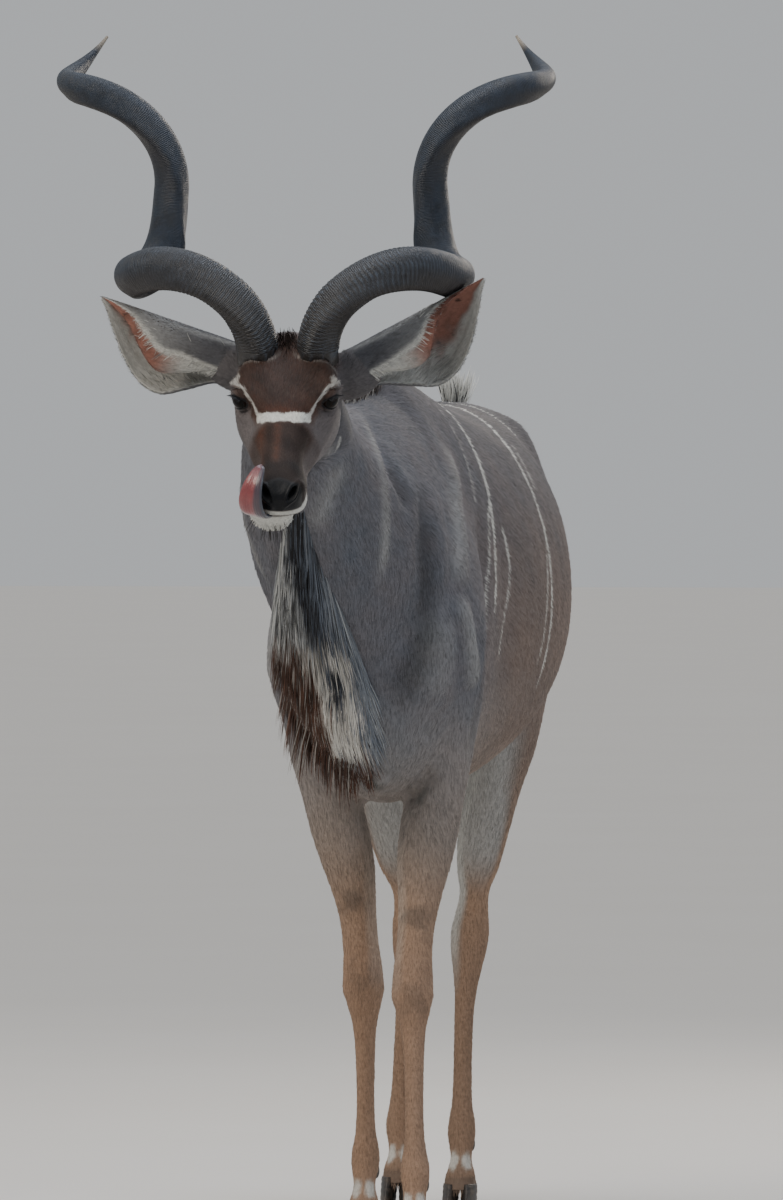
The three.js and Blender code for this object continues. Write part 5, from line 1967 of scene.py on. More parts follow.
class Coat:
    """The short coat over the whole skin."""

    def __init__(self, skin: bpy.types.Object) -> None:
        """Reads the skin."""
        self.surface = Surface(skin)
        self.kinds = region_of(self.surface.middles)

    def thickness(self, region: Region) -> Array:
        """How much closer the tufts stand on each triangle than the region's spacing says."""
        middle = self.surface.middles
        if region in (Region.FORELEGS, Region.HINDLEGS):
            return 0.8 + 0.9 * step(560, 380, middle[:, 2])
        if region is Region.HEAD:
            return 0.7 + 0.8 * step(-120, -260, in_head(middle)[:, 1])
        return np.ones(len(middle))

    def build(self) -> list[bpy.types.Object]:
        """Builds every piece of the coat.

        Returns:
            The pieces.
        """
        pieces = []
        for number, tufts in enumerate(TUFTS):
            rng = np.random.default_rng(SEED + number)
            kind = list(Region).index(tufts.region)
            share = self.surface.areas / tufts.spacing**2
            density = (self.kinds == kind) * share * self.thickness(tufts.region)
            place, facing, _, _ = self.surface.roots(density, rng)
            keep = place[:, 2] > HOOF_TOP
            if tufts.region is Region.HEAD:
                keep &= face_marks(place, facing, Marks.of(len(place))).bare < 0.4
            place, facing = place[keep], facing[keep]
            order = np.argsort(place[:, 1] if tufts.region is Region.TRUNK else place[:, 0], kind="stable")
            place, facing = place[order], facing[order]
            count = max(1, math.ceil(len(place) * TUFT_TRIANGLES / MOST_TRIANGLES))
            for k, part in enumerate(np.array_split(np.arange(len(place)), count)):
                root, out = place[part], facing[part]
                size = self.scale(root, tufts.region)
                lie = lie_of(root)
                lie = unit(lie - out * (lie * out).sum(1)[:, None])
                marks = marks_at(root + lie * (0.5 * tufts.length * size)[:, None], out)
                name = f"coat_{tufts.region.value}_{k + 1}"
                pieces.append(tuft_piece(name, tufts, root, out, lie, size, marks, rng))
        return pieces

    @staticmethod
    def scale(points: Array, region: Region) -> Array:
        """How long the tufts are at places, as a share of the region's length."""
        _, y, z = points.T
        if region in (Region.FORELEGS, Region.HINDLEGS):
            return 0.62 + 0.5 * step(420, 760, z) - 0.12 * step(140, 80, z)
        if region is Region.HEAD:
            h = in_head(points)
            fore = step(-245, -215, h[:, 1]) * step(-20, -70, h[:, 1]) * step(40, 60, h[:, 2])
            return 0.75 + 0.35 * step(-260, -140, h[:, 1]) + 0.6 * fore - 0.2 * step(-340, -380, h[:, 1])
        return 0.8 + 0.2 * np.maximum(step(1050, 1350, z), step(-60, -260, y))


def tuft_piece(
    name: str,
    tufts: Tufts,
    root: Array,
    facing: Array,
    lie: Array,
    size: Array,
    marks: "Marks",
    rng: np.random.Generator,
) -> bpy.types.Object:
    """One piece of short coat: a closed spike for each tuft, that shades with the skin under it.

    Args:
        name: The piece's name.
        tufts: Sizes of its tufts.
        root: Where each tuft grows.
        facing: The direction that the skin faces there.
        lie: The direction along the skin in which each lies.
        size: How long each is, as a share of the length.
        marks: The colours of each.
        rng: Chance.

    Returns:
        The piece.
    """
    count = len(root)
    length = tufts.length * size * rng.uniform(0.75, 1.25, count)
    across = np.cross(facing, lie)
    lie = unit(lie + across * rng.normal(0, 0.13, count)[:, None])
    across = np.cross(facing, lie)
    width = tufts.width * np.sqrt(length / tufts.length) * rng.uniform(0.8, 1.2, count)
    rise = tufts.rise * rng.uniform(0.4, 1.6, count)
    thick = tufts.thick * width / tufts.width
    half = across * width[:, None] / 2
    low = root - facing * 0.6
    tip = root + length[:, None] * unit(lie + facing * rise[:, None])
    corners = np.stack([low - half, low + half, root + facing * thick[:, None], tip], 1)
    first = 4 * np.arange(count)[:, None]
    faces = np.concatenate([first + f for f in ([0, 2, 1], [1, 2, 3], [3, 2, 0], [0, 1, 3])])
    tilt = facing + rng.normal(0, 0.07, (count, 3))
    shading = np.stack([tilt - 0.35 * across, tilt + 0.35 * across, tilt, tilt + 0.2 * lie], 1)
    made = hair_piece(name, corners, [faces], shading)
    marks.dye(made, np.array([0, 0, 0.3, 1]), rng.random(count))
    chart(made, root, tufts.region)
    return made


def hair_piece(name: str, corners: Array, faces: list[Array], shading: Array) -> bpy.types.Object:
    """An object of many hairs that is lit as their shading says.

    Args:
        name: The piece's name.
        corners: Places by hair and corner.
        faces: Faces as arrays of corner numbers.
        shading: The direction that each corner seems to face.

    Returns:
        The piece.
    """
    made = Shape(corners.reshape(-1, 3), faces).obj(name)
    made.data.normals_split_custom_set_from_vertices(unit(shading.reshape(-1, 3)))
    return made


def chart(piece: bpy.types.Object, root: Array, region: Region) -> None:
    """Gives each tuft its own small patch on an unwrap of the skin.

    Args:
        piece: The piece, whose tufts have as many corners each.
        root: Where each tuft grows.
        region: The region that it grows on.
    """
    x, y, z = root.T
    if region is Region.HEAD:
        h = in_head(root)
        run, turned = h[:, 1], np.arctan2(h[:, 0], h[:, 2])
    elif region is Region.NECK:
        run, turned = 0.8 * y - 0.5 * z, np.arctan2(x + 60, z - 1220 + 0.4 * y)
    elif region is Region.TRUNK:
        run, turned = y, np.arctan2(x, z - 1070)
    else:
        line = np.zeros((len(root), 2))
        for name in LINES:
            mine = name.startswith("fore") == (region is Region.FORELEGS)
            mine = mine & ((x > 0) if name.endswith("left") else (x <= 0))
            line[mine] = line_at(LINES[name], z[mine])
        run, turned = z + 0.0, np.arctan2(x - line[:, 0], y - line[:, 1])
        turned = turned + 7 * (x > 0)
    place = np.stack([run, turned], 1)
    low, high = place.min(0), place.max(0)
    place = 0.02 + 0.96 * (place - low) / np.maximum(high - low, 1e-6)
    each = len(piece.data.vertices) // len(root)
    angle = 2 * math.pi * np.arange(each) / each
    patch = 0.0014 * np.stack([np.cos(angle), np.sin(angle)], 1)
    spots = (place[:, None] + patch[None]).reshape(-1, 2)
    corners = read(piece.data.loops, "vertex_index", 1)[:, 0]
    layer = piece.data.uv_layers.new(name="OFBake", do_init=False)
    layer.uv.foreach_set("vector", spots[corners].astype(np.float32).ravel())


# Long hair


@dataclass
class Wisps:
    """A kind of long hair, drawn as tapered strands that gather into locks."""

    region: Region
    width: float
    hang: float  # how far its weight bends it down
    locks: int = 0  # how many locks its strands close up into
    gather: float = 0.0  # how far they close up, at the tips
    clear: float = 0.0  # how far it stays off the skin
    knots: int = 6
    sway: float = 0.16
    free: bool = False  # whether it stands clear of the skin and is lit from all sides


class LongHair:
    """Throat mane, crest of nape and back, tail tuft, margins of the ears, lashes and fringes."""

    tail_end = 812.0  # the height that the tail's hair hangs down to

    def __init__(self, skin: bpy.types.Object) -> None:
        """Reads the skin.

        Args:
            skin: The finished skin.
        """
        self.rng = np.random.default_rng(SEED + 50)
        self.tree = BVHTree.FromObject(skin, bpy.context.evaluated_depsgraph_get())
        self.pieces: list[bpy.types.Object] = []

    def nearest(self, points: Array) -> tuple[Array, Array]:
        """The places on the skin nearest to points, and the directions that it faces there."""
        places, facing = np.empty_like(points), np.empty_like(points)
        for i, point in enumerate((points + SHIFT) * MM):
            place, way, _, _ = self.tree.find_nearest(point)
            places[i], facing[i] = place, way
        return places / MM - SHIFT, facing

    def count(self, full: int) -> int:
        return full

    def grow(self, kind: Wisps, root: Array, way: Array, length: Array) -> Array:
        """The lines of strands.

        Args:
            kind: The kind of hair.
            root: Where each strand starts.
            way: The direction in which it starts.
            length: How long it is.

        Returns:
            Places by strand and knot.
        """
        count, knots = len(root), kind.knots
        paths = np.empty((count, knots, 3))
        paths[:, 0] = root
        sway = unit(self.rng.normal(size=(count, 3))) * kind.sway
        for k in range(1, knots):
            u = (k - 0.5) / (knots - 1)
            heading = unit(unit(way) - 1.6 * kind.hang * u * Z + sway * u)
            paths[:, k] = paths[:, k - 1] + heading * (length / (knots - 1))[:, None]
        if kind.locks:
            chosen = self.rng.choice(count, min(kind.locks, count), replace=False)
            gaps = ((root[:, None] - root[chosen][None]) ** 2).sum(-1)
            guide = chosen[np.argmin(gaps, 1)]
            pull = kind.gather * np.linspace(0, 1, knots) ** 1.2
            paths += (paths[guide] - paths) * pull[None, :, None]
        if kind.clear:
            free = paths[:, 1:].reshape(-1, 3)
            place, facing = self.nearest(free)
            gap = ((free - place) * facing).sum(1)
            wanted = kind.clear * np.tile(np.linspace(0.4, 1, knots - 1), count)
            free = free + facing * np.maximum(wanted - gap, 0)[:, None] * (gap < wanted)[:, None]
            paths[:, 1:] = free.reshape(count, knots - 1, 3)
        return paths

    def piece(self, kind: Wisps, name: str, paths: Array, facing: Array, marks: "Marks") -> None:
        """Builds strands along their lines, as closed three-sided tapers.

        Args:
            kind: The kind of hair.
            name: The piece's name.
            paths: Places by strand and knot.
            facing: The direction in which each strand's broad side looks.
            marks: The colours of each strand.
        """
        count, knots = paths.shape[:2]
        heading = unit(np.gradient(paths, axis=1))
        across = unit(np.cross(heading, facing[:, None] + 0 * heading))
        out = np.cross(across, heading)
        share = np.linspace(0, 1, knots)[None, :, None]
        width = kind.width * self.rng.uniform(0.6, 1.35, (count, 1, 1))
        width = width * np.sqrt(np.clip(1.08 - share, 0, 1))
        half = across * width / 2
        ring = np.stack([paths - half, paths + half, paths + out * width * 0.38], 2)
        corners = np.concatenate([ring[:, :-1].reshape(count, -1, 3), paths[:, -1:]], 1)
        low, spread = (-0.3, 1.0) if kind.free else (1.0, 0.55)
        shade = np.stack([low * out - spread * across, low * out + spread * across, out + 0 * across], 2)
        shade = np.concatenate([shade[:, :-1].reshape(count, -1, 3), out[:, -1:]], 1)
        each = 3 * (knots - 1) + 1
        first = each * np.arange(count)[:, None]
        tip = each - 1
        sides = [(3 * k + a, 3 * k + b) for k in range(knots - 2) for a, b in EDGES]
        quads = [[a, a + 3, b + 3, b] for a, b in sides]
        ends = [[tip - 3 + a, tip, tip - 3 + b] for a, b in EDGES] + [[0, 1, 2]]
        faces = [np.concatenate([first + corner for corner in some]) for some in (quads, ends)]
        made = hair_piece(name, corners, faces, shade)
        strand = np.append(np.repeat(np.linspace(0, 1, knots)[:-1], 3), 1.0)
        marks.dye(made, strand, self.rng.random(count))
        chart(made, paths[:, 0], kind.region)
        self.pieces.append(made)

    def build(self) -> list[bpy.types.Object]:
        """Builds all the long hair on the skin.

        Returns:
            The pieces.
        """
        self.throat()
        self.crest()
        self.loins()
        self.tail()
        self.forelock()
        self.lashes()
        self.chin()
        self.sheath()
        self.coronets()
        return self.pieces

    def throat(self) -> None:
        """The mane of the throat and breast, lying down the neck in long locks."""
        kind = Wisps(Region.NECK, 2.3, 0.42, 300, 0.5, 9.0, 7)
        rng, count = self.rng, self.count(5000)
        share = 0.84 - 0.84 * rng.random(count) ** 0.9
        right = np.interp(share, [0, 0.3, 0.5, 0.7, 0.85], [112, 104, 64, 34, 14])
        left = np.interp(share, [0, 0.15, 0.3, 0.5, 0.7, 0.85], [-4, 18, 36, 38, 22, 12])
        aside = -right + (left + right) * rng.random(count)
        centre, up, sizes = neck_section(share)
        drop = sizes[:, 1] * np.sqrt(1 - np.clip(aside / sizes[:, 0], -0.96, 0.96) ** 2)
        root, facing = self.nearest(centre + aside[:, None] * X - drop[:, None] * up)
        later, _, _ = neck_section(np.clip(share - 0.05, 0, 1))
        down = unit(later - centre + [0, 0, -4.0])
        way = down + 0.24 * facing + np.outer(0.1 * aside / 70 - 0.05, X)
        length = np.interp(share, [0, 0.25, 0.6, 0.85], [112, 165, 165, 105])
        length *= rng.uniform(0.65, 1.15, count)
        length *= 1 - 0.35 * step(30, 60, aside)
        paths = self.grow(kind, root - facing * 3, way, length)
        self.piece(kind, "coat_throat_mane", paths, facing, mane_marks(paths[:, 5], rng))

    def crest(self) -> None:
        """The short stiff mane from the poll over the withers and along the back."""
        kind = Wisps(Region.NECK, 1.9, 0.12, 260, 0.35, free=True)
        rng, count = self.rng, self.count(3400)
        share = rng.random(count) ** 1.15
        line = along(CREST, share)
        root = line[:, :3] + rng.normal(0, 6.5, (count, 1)) * X
        root, facing = self.nearest(root)
        after, before = (along(CREST, np.clip(share + 0.02 * way, 0, 1))[:, :3] for way in (1, -1))
        back = unit(after - before)
        lean = line[:, 4:5]
        way = Z * (1 - lean) + back * lean + rng.normal(0, 0.12, (count, 1)) * X
        length = line[:, 3] * rng.uniform(0.6, 1.15, count)
        paths = self.grow(kind, root - facing * 3, way, length)
        pale = rng.random(count) < np.interp(share, [0, 0.2, 0.38, 0.5, 1], [0.12, 0.2, 0.45, 0.75, 0.7])
        dark = np.where(pale, 0.05, 0.45)
        marks = Marks.of(count, grey=0.4, warm=0.2, rufous=0.3, dark=dark, pale=np.where(pale, 0.5, 0.0))
        side = unit(np.cross(back, Z)) * np.where(rng.random((count, 1)) < 0.5, 1, -1)
        self.piece(kind, "coat_crest", paths, side, marks)

    def loins(self) -> None:
        """The tuft of white and dark hair that stands up over the loins."""
        kind = Wisps(Region.TRUNK, 1.8, 0.05, 9, 0.45, free=True)
        rng, count = self.rng, self.count(420)
        root = np.array([16, 1000, 1398]) + rng.normal(0, 1, (count, 3)) * [7, 17, 0]
        root, facing = self.nearest(root)
        way = Z + np.outer((root[:, 0] - 14) / 45, X) + np.outer((root[:, 1] - 985) / 45, Y)
        way = way + rng.normal(0, 0.16, (count, 3))
        dark = rng.random(count) < 0.3
        paths = self.grow(kind, root - facing * 3, way, rng.uniform(22, 80, count) * np.where(dark, 0.6, 1))
        marks = Marks.of(count, grey=0.7, dark=np.where(dark, 0.85, 0.0), pale=np.where(dark, 0.0, 0.95))
        self.piece(kind, "coat_loin_tuft", paths, np.tile(-Y, (count, 1)), marks)

    def tail(self) -> None:
        """The tail's long hair: dark to the tip, white below."""
        kind = Wisps(Region.TRUNK, 2.2, 0.3, 60, 0.4, free=True)
        rng, count = self.rng, self.count(1500)
        share = 0.2 + 0.76 * rng.random(count)
        row = along(Tail.rows, share)
        angle = 2 * math.pi * rng.random(count)
        out = np.stack([np.cos(angle), np.sin(angle), 0 * angle], 1)
        root, facing = self.nearest(row[:, :3] + out * row[:, 3:4])
        way = -Z + 0.3 * out
        length = np.interp(share, [0.2, 0.5, 0.9], [28, 62, 88]) * rng.uniform(0.7, 1.15, count)
        length = np.minimum(length, root[:, 2] - self.tail_end)
        paths = self.grow(kind, root - facing * 2, way, length)
        white = (out[:, 1] < -0.1) & (rng.random(count) < 0.85)
        end = step(0.6, 0.85, share)
        marks = Marks.of(count, grey=0.5, warm=0.3, rufous=0.2)
        marks.dark = np.where(white, 0.0, 0.35 + 0.55 * end)
        marks.pale = np.where(white, 0.85 * (1 - 0.8 * end), 0.0)
        self.piece(kind, "coat_tail_tuft", paths, out, marks)

    def forelock(self) -> None:
        """The dark tuft between the horns."""
        kind = Wisps(Region.HEAD, 1.3, 0.1, 16, 0.4, free=True)
        rng, count = self.rng, self.count(150)
        h = np.array([0, -62, 90]) + rng.normal(0, 1, (count, 3)) * [8, 14, 0]
        root, facing = self.nearest(head_point(h))
        way = facing + head_way(rng.normal(0, 0.25, (count, 3)) + [0, 0.25, 0.2])
        paths = self.grow(kind, root - facing, way, rng.uniform(9, 20, count))
        marks = Marks.of(count, rufous=0.6, dark=0.75)
        self.piece(kind, "coat_forelock", paths, np.tile(-Y, (count, 1)), marks)

    def lashes(self) -> None:
        """The lashes of the upper lids."""
        kind = Wisps(Region.HEAD, 0.7, 0.12, knots=5, sway=0.1)
        rng, lids = self.rng, Lids()
        roots, ways = [], []
        for side, _ in SIDES:
            count = self.count(96)
            across = rng.uniform(-0.72, 0.98, count)
            up = lids.upper * (1 - np.abs(across) ** 1.8) ** 0.5
            aside = across * lids.half_width
            depth = np.sqrt(np.maximum(EYE_RADIUS**2 - np.hypot(aside, up) ** 2, 20)) + 1.2
            local = np.stack([aside * side, -depth, up], 1)
            way = np.stack([(0.5 * across + 0.15) * side, -1.0 + 0 * across, 0.12 + 0.1 * across], 1)
            turned = eye_turn(side)
            roots.append(head_point(local @ turned.T + EYE * [side, 1, 1]))
            ways.append(head_way(way @ turned.T))
        root, way = np.concatenate(roots), np.concatenate(ways)
        paths = self.grow(kind, root, way, rng.uniform(6, 11, len(root)))
        marks = Marks.of(len(root), dark=1, bare=1)
        self.piece(kind, "coat_lashes", paths, head_way(np.tile(Z, (len(root), 1))), marks)

    def chin(self) -> None:
        """The soft white hair of the chin, with a few dark whiskers."""
        kind = Wisps(Region.HEAD, 0.9, 0.25, knots=5)
        rng, count = self.rng, self.count(900)
        x, y, z = rng.normal(-13, 22, count), rng.uniform(-408, -350, count), rng.uniform(-78, -50, count)
        h = np.stack([x, y, z], 1)
        root, facing = self.nearest(head_point(h))
        whisker = rng.random(count) < 0.05
        way = facing + head_way(np.tile([0, 0.9, -0.9], (count, 1)))
        length = np.where(whisker, rng.uniform(22, 38, count), rng.uniform(4, 8, count))
        paths = self.grow(kind, root - facing * 0.5, way, length)
        marks = Marks.of(count, grey=0.2, warm=0.1, dark=0.9 * whisker, pale=0.95 * ~whisker)
        self.piece(kind, "coat_chin", paths, facing, marks)

    def sheath(self) -> None:
        """The hair of the sheath."""
        kind = Wisps(Region.TRUNK, 1.9, 0.4, 20, 0.5)
        rng, count = self.rng, self.count(360)
        root = np.stack([rng.normal(0, 9, count), rng.uniform(600, 690, count), np.full(count, 735)], 1)
        root, facing = self.nearest(root)
        way = facing + [0, -0.5, -0.6]
        paths = self.grow(kind, root - facing * 2, way, rng.uniform(16, 34, count))
        pale = rng.random(count) < 0.5
        marks = Marks.of(count, grey=0.3, warm=0.4, rufous=0.2, dark=0.5 * ~pale, pale=0.6 * pale)
        self.piece(kind, "coat_sheath", paths, facing, marks)

    def coronets(self) -> None:
        """The fringe of hair that hangs over the tops of the hooves."""
        for region, word in ((Region.FORELEGS, "fore"), (Region.HINDLEGS, "hind")):
            kind = Wisps(region, 1.5, 0.3, 60, 0.3, knots=5)
            rng = self.rng
            roots = []
            for line in (LINES[leg] for leg in LINES if leg.startswith(word)):
                count = self.count(440)
                x, y = line_at(line, np.array([62.0]))[0]
                angle = 2 * math.pi * rng.random(count)
                height = rng.uniform(50, 74, count)
                roots.append(np.stack([x + 34 * np.cos(angle), y - 4 + 42 * np.sin(angle), height], 1))
            root, facing = self.nearest(np.concatenate(roots))
            way = 0.35 * facing - Z
            paths = self.grow(kind, root - facing * 1.5, way, rng.uniform(13, 24, len(root)))
            marks = marks_at(root, facing)
            marks.darken(0.35)
            self.piece(kind, f"coat_{region.value}_coronets", paths, facing, marks)


EDGES = ((0, 1), (1, 2), (2, 0))
# The crest's line: x, y, z, length of its hair, share that it leans back
CREST = np.array([
    [-72, -455, 1500, 34, 0.5], [-75, -380, 1462, 58, 0.42], [-74, -290, 1430, 66, 0.4],
    [-66, -200, 1414, 70, 0.4], [-48, -110, 1408, 74, 0.42], [-27, 0, 1416, 78, 0.45],
    [-8, 110, 1440, 74, 0.5], [0, 200, 1456, 62, 0.62], [0, 330, 1436, 46, 0.75],
    [0, 480, 1412, 36, 0.84], [0, 640, 1400, 32, 0.86], [0, 820, 1402, 32, 0.86],
    [0, 1000, 1405, 30, 0.86], [0, 1140, 1380, 26, 0.9],
])


def mane_marks(points: Array, rng: np.random.Generator) -> "Marks":
    """The colours of the throat mane, by where each strand's lower part hangs.

    Args:
        points: Lower parts of the strands.
        rng: Chance, as hairs of other colours grow among the rest.

    Returns:
        The marks.
    """
    x, _, z = points.T
    aside = x - middle_of(points) + 5 * wobble(points, 16, 51) + rng.normal(0, 4, len(x))
    high = step(985, 1020, z + 14 * wobble(points, 24, 52) + rng.normal(0, 12, len(x)))
    odd = rng.random(len(x))
    white_top = high * step(-14, -26, aside)
    black = np.maximum(high * bell(aside, -8, 14), bell(z, 940, 60) * bell(aside, -16, 12))
    lock = 0.85 * high * (odd > 0.68) * step(34, 12, aside)
    black = np.where(odd < 0.2, 0.25, 1.0) * np.maximum(black, lock)
    cream = (1 - high) * step(-54, -42, aside) * step(22, 10, aside) * step(800, 830, z)
    cream = cream * (1 - step(0.2, 0.6, black)) * (odd > 0.1)
    brown = np.clip((1 - high) * step(-34, -48, aside) + step(815, 780, z), 0, 1) * (1 - cream)
    grey = np.clip(1 - brown - cream, 0, 1)
    chance = rng.random(len(x))
    pale = np.maximum(0.7 * white_top * (0.35 + 0.65 * chance), 0.85 * cream * (0.7 + 0.3 * chance))
    pale = np.maximum(pale, 0.34 * step(10, 26, aside) * chance**2 * (1 - brown))
    pale = np.maximum(pale, 0.35 * brown * (odd > 0.86))
    dark = np.maximum(0.95 * black, brown * (0.25 + 0.55 * (1 - chance)))
    rufous = brown * (0.5 + 0.4 * chance)
    return Marks(grey, 0.3 * cream + 0.3 * brown, rufous, dark, pale * (1 - black), 0 * x)


# The animal


FLESH_NODES = ("head", "lower_jaw", "neck", "torso", "tail") + tuple(
    f"{leg}_{half}" for leg in LINES for half in ("upper", "lower")
)


def place_piece(piece: bpy.types.Object, material: bpy.types.Material, slot: Slot, *nodes: str) -> None:
    """Dresses a piece, hangs it on the body and hides the solids that it stands for.

    Args:
        piece: The piece.
        material: Its material.
        slot: Not used.
        *nodes: Solids that it replaces.
    """
    piece.data.materials.append(material)
    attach(piece, BODY)
    if nodes:
        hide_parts(*nodes)
    LOG.info("%s: %d faces", piece.name, len(piece.data.polygons))


PUPIL = (0.42, 0.2)  # half its width and height, as shares of the eye's radius


class Kudu:
    """The whole animal."""

    def __init__(self) -> None:
        """Builds the finishes that several pieces share."""
        self.hide = CoatFinish("short haired hide", False).material()
        self.hair = CoatFinish("kudu hair", True).material()

    def skin(self) -> bpy.types.Object:
        """Builds the skin and paints its markings."""
        skin = Skin().build()
        marks_at(points_of(skin), normals_of(skin)).dye_skin(skin)
        place_piece(skin, self.hide, Slot.HIDE, *FLESH_NODES)
        self.long_hair = LongHair(skin)
        return skin

    def eyes(self) -> None:
        """Builds both eyes."""
        finish = EyeFinish().material()
        for side, word in SIDES:
            matrix = HEAD_TURN @ eye_turn(side)
            middle = head_point(EYE * [side, 1, 1])
            eye = ball(np.zeros(3), (1, 1, 1), turn("x", math.pi / 2), 72)
            across, depth, up = eye.points.T
            span = np.hypot(across, up)
            bulge = 1 + 0.04 * step(0.7, 0.45, span) * (depth < 0)
            eye.points = eye.points * bulge[:, None] * EYE_RADIUS
            front = depth < 0
            pupil = step(1.12, 0.9, np.hypot(across / PUPIL[0], up / PUPIL[1])) * front
            edge = step(0.42, 0.66, span)
            outer = step(0.74, 0.86, span) * front
            eye.points = eye.points @ matrix.T + middle
            piece = eye.turned_out().obj(f"eyeball_{word}")
            paint(piece, "eye_place", np.stack([pupil, edge, 0.35 * outer, np.ones_like(edge)], 1))
            place_piece(piece, finish, Slot.EYE, f"eye_{word}")

    def ears(self) -> None:
        """Builds both ears."""
        finish = CoatFinish("thin ear skin", False, warm="#9a705f", rufous="#7a4234").material()
        hair = CoatFinish("ear hair", True, warm="#9a705f", rufous="#7a4234").material()
        for side, word in SIDES:
            shape, marks = Ear(side).shape()
            piece = shape.turned_out().obj(f"ear_sheet_{word}")
            ear_marks(shape.points, marks).dye_skin(piece)
            place_piece(piece, finish, Slot.HIDE, f"ear_{word}")
            fur = EarHair(side, word, self.long_hair)
            place_piece(fur.fur(piece, marks), hair, Slot.HIDE)
            fur.fringe()

    def horns(self) -> None:
        """Builds both horns."""
        finish = HornFinish().material()
        for side, word in SIDES:
            shape, marks = Horn(side).shape()
            piece = shape.turned_out().obj(f"spiral_horn_{word}")
            wave = np.clip(0.5 + marks[:, 2] * 0.4, 0, 1)
            paint(piece, "horn_place", np.stack([marks[:, 0], marks[:, 1], wave, np.ones(len(wave))], 1))
            place_piece(piece, finish, Slot.HORN, f"horn_{word}")

    def tongue(self) -> None:
        """Builds the tongue."""
        shape, marks = Tongue().shape()
        piece = shape.turned_out().obj("curled_tongue")
        across = marks[:, 1]
        rim = np.maximum(step(0.55, 0.9, across), 0.55 * step(0.72, 0.95, marks[:, 0]))
        rim = np.maximum(rim, 0.85 * step(0.12, 0.4, across))
        paint(piece, "tongue_place", np.stack([0.5 + 0.5 * across, rim, marks[:, 0], np.ones_like(rim)], 1))
        place_piece(piece, TongueFinish().material(), Slot.TONGUE, "tongue")

    def hooves(self) -> None:
        """Builds the eight claws and the dewclaws above them."""
        finish = HoofFinish().material()
        for leg in LINES:
            for half, letter in ((-1, "a"), (1, "b")):
                piece = Hoof(leg, half).shape().turned_out().obj(f"{leg}_claw_{letter}")
                place_piece(piece, finish, Slot.HOOF, f"{leg}_hoof_{letter}")
            x, y = line_at(LINES[leg], np.array([138.0]))[0]
            size, lean = (6.5, 9, 15), turn("x", 0.42)
            claws = [ball(np.array([x + s * 14, y + 26, 119]), size, lean, 28) for s in (-1, 1)]
            place_piece(Shape.joined(claws).turned_out().obj(f"{leg}_dewclaws"), finish, Slot.HOOF)

    def coat(self, skin: bpy.types.Object) -> None:
        """Grows the short coat."""
        for piece in Coat(skin).build() + self.long_hair.build():
            place_piece(piece, self.hair, Slot.HIDE)


EAR_LEAD = 0.1  # how far the inside's colours reach round the front margin, as a share of the ear's round


def ear_marks(points: Array, marks: Array) -> Marks:
    """The ear's colours: grey outside; inside red-brown and mottled, with pale margins.

    Args:
        points: Places on the ear.
        marks: Share along, share round, and 1 on the inside.

    Returns:
        The marks.
    """
    share, turned, inner = marks.T
    mottle, spots = wobble(points, 14, 41), wobble(points, 7, 42)
    lead = EAR_LEAD * step(1.0, 0.8, share) * step(0.06, 0.3, share)
    front = (1 - inner) * step(lead + 0.012, lead - 0.004, turned + 0.008 * spots) * (lead > 0.01)
    rim = (1 - inner) * bell(turned, lead + 0.015, 0.018) * step(0.0, 0.1, share)
    inner = np.maximum(inner, front)
    inside = inner * step(0.01, 0.05, 1 - turned)
    red = inside * step(0.22, 0.4, share + 0.1 * turned) * step(0.84, 0.6, turned + 0.03 * mottle)
    fold = red * bell(turned, 0.2, 0.14) * step(1.0, 0.9, share)
    lower = inside * step(0.6, 0.84, turned + 0.03 * mottle)
    dark = 0.3 * red * step(0.2, 1.2, mottle) + 0.3 * (1 - inner) * step(0.9, 1.0, share)
    dark = np.maximum(dark, 0.8 * inside * step(1.15, 1.6, spots + 0.4 * mottle))
    dark = dark + 0.3 * lower * step(0.2, 1.0, wobble(points, 3.5, 43))
    dark = dark + 0.25 * (1 - inner) * step(0.5, 1.2, mottle)
    pale = 0.75 * inside * step(0.42, 0.2, share) + 0.64 * lower
    pale = np.maximum(pale, 0.8 * inner * step(0.09, 0.03, 1 - turned))
    pale = np.maximum(pale, 0.3 * (1 - inner) * bell(turned, 0.3, 0.04) * step(0.75, 0.5, share))
    pale = np.maximum(pale, 0.24 * (1 - inner) * step(0.12, 0.5, share))
    pale = np.maximum(pale, 0.9 * rim)
    zero = np.zeros_like(share)
    return Marks(0.3 * (1 - inside) + 0.5 * lower, 0.6 * red, 0.3 * red + 0.4 * fold, dark, pale, zero)


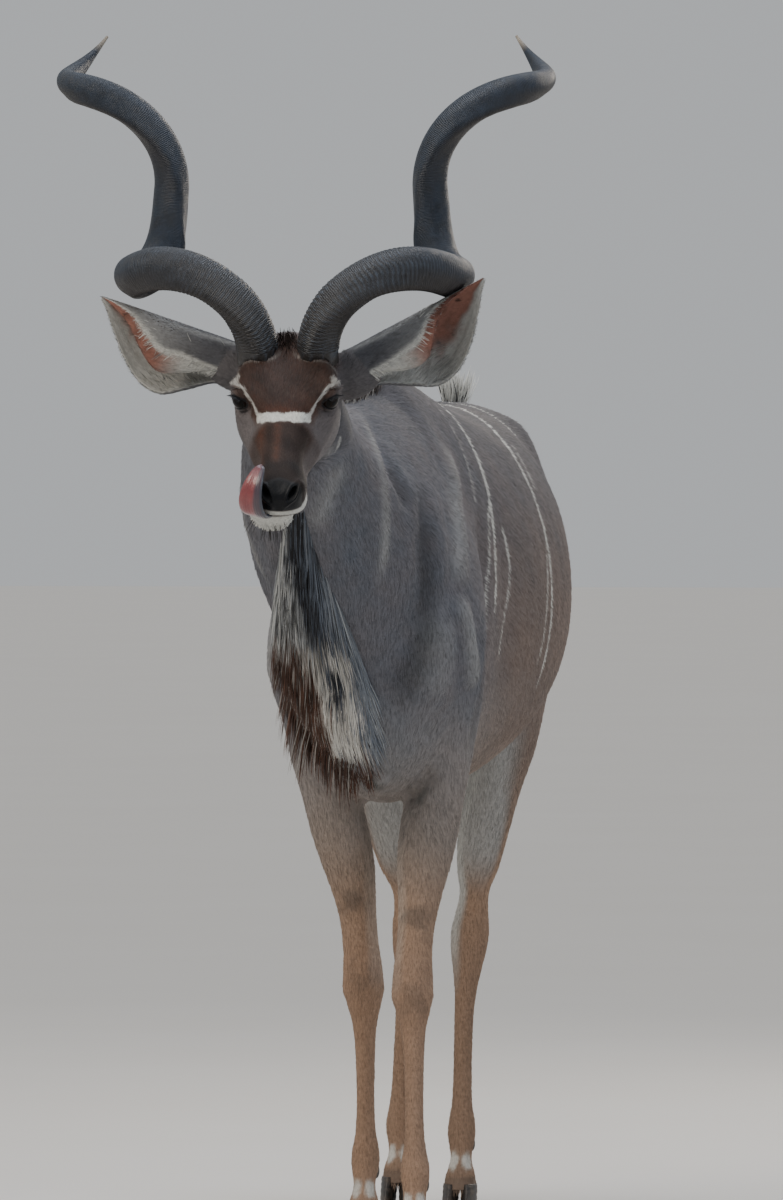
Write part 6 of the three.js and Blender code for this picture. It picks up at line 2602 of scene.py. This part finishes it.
class EarHair:
    """The short fur and the white fringes of one ear."""

    def __init__(self, side: int, word: str, hair: LongHair) -> None:
        """Takes the ear."""
        self.ear, self.word, self.hair = Ear(side), word, hair

    def fur(self, piece: bpy.types.Object, marks: Array) -> bpy.types.Object:
        """Short fur over the outside, and thinly over the inside.

        Args:
            piece: The ear.
            marks: Share along, share round, and 1 on the inside, for each of its corners.

        Returns:
            The fur.
        """
        surface = Surface(piece)
        inner = marks[surface.triangles, 2].mean(1)
        tufts = Tufts(Region.HEAD, 2.7, 7.5, 1.1, 0.3, 0.12)
        density = surface.areas / tufts.spacing**2 * np.where(inner > 0.5, 0.35, 1.0)
        rng = self.hair.rng
        place, facing, corner, weights = surface.roots(density, rng)
        where = (marks[corner] * weights).sum(1)
        lie = self.ear.way + 0 * place
        lie = unit(lie - facing * (lie * facing).sum(1)[:, None])
        size = 1 - 0.45 * step(0.6, 1.0, where[:, 0])
        name, colours = f"coat_ear_{self.word}", ear_marks(place, where)
        return tuft_piece(name, tufts, place, facing, lie, size, colours, rng)

    def fringe(self) -> None:
        """White hair along the margins and across the lower part of the inside."""
        rng, ear = self.hair.rng, self.ear
        kind = Wisps(Region.HEAD, 1.0, 0.1, 70, 0.25, knots=5, free=True)
        front, low, deep = self.hair.count(1100), self.hair.count(260), self.hair.count(500)
        share = np.concatenate(
            [rng.uniform(0.08, 0.72, front), rng.uniform(0.2, 0.97, low), rng.uniform(0.06, 0.5, deep)]
        )
        near_front = EAR_LEAD * step(0.06, 0.3, share[:front]) + 0.03 * rng.random(front)
        near_low = 1 - 0.02 * rng.random(low)
        lower = rng.random(deep) < 0.6
        within = np.where(lower, rng.uniform(0.7, 0.97, deep), rng.uniform(0.04, 0.22, deep))
        turned = np.concatenate([near_front, near_low, within])
        root = ear.surface(share, turned, True)
        middle = ear.surface(share, np.clip(turned, 0.12, 0.88), True)
        out = unit(ear.surface(share, turned, False) - root)
        edge = unit(root - middle + 1e-3 * ear.down)
        before = np.arange(len(share)) < front
        outer = ear.surface(share, turned, False)
        root = np.where(before[:, None], outer, root)
        edge = np.where(before[:, None], unit(ear.surface(share, 0 * turned, False) - outer), edge)
        inside = np.arange(len(share)) >= front + low
        hanging = 0.75 * edge + 0.55 * ear.way - 0.15 * out
        way = np.where(inside[:, None], 0.9 * ear.way - 0.45 * out, hanging)
        way = way + rng.normal(0, 0.16, way.shape)
        length = np.interp(share, [0, 0.35, 0.7, 1], [22, 22, 13, 5]) * rng.uniform(0.6, 1.2, len(share))
        length[:front] *= 0.8 * step(0.8, 0.35, share[:front]) + 0.2
        length[front : front + low] *= 0.45
        length[inside] *= 1.15
        paths = self.hair.grow(kind, root, way, length)
        grey = np.where(rng.random(len(share)) < 0.1, 0.8, 0.1)
        marks = Marks.of(len(share), grey=grey, pale=0.95 - 0.6 * (grey > 0.5))
        self.hair.piece(kind, f"coat_ear_fringe_{self.word}", paths, out, marks)


def main() -> None:
    """Builds the studio and the animal."""
    studio = Studio()
    studio.camera()
    studio.world()
    studio.lights()
    studio.daylight()
    studio.floor()
    kudu = Kudu()
    skin = kudu.skin()
    kudu.eyes()
    kudu.ears()
    kudu.horns()
    kudu.tongue()
    kudu.hooves()
    kudu.coat(skin)
    meshes = [piece.data for piece in bpy.context.scene.objects if piece.type == "MESH"]
    count = sum(len(face.vertices) - 2 for mesh in meshes for face in mesh.polygons)
    LOG.info("%d triangles in all", count)


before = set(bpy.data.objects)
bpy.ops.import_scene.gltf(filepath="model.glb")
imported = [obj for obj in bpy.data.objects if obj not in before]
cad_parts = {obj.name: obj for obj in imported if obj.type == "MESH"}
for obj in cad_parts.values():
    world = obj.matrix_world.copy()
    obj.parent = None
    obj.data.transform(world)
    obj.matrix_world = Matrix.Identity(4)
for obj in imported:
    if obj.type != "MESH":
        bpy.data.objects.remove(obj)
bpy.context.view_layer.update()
SHIFT = frame_shift()

if __name__ == "__main__":
    main()
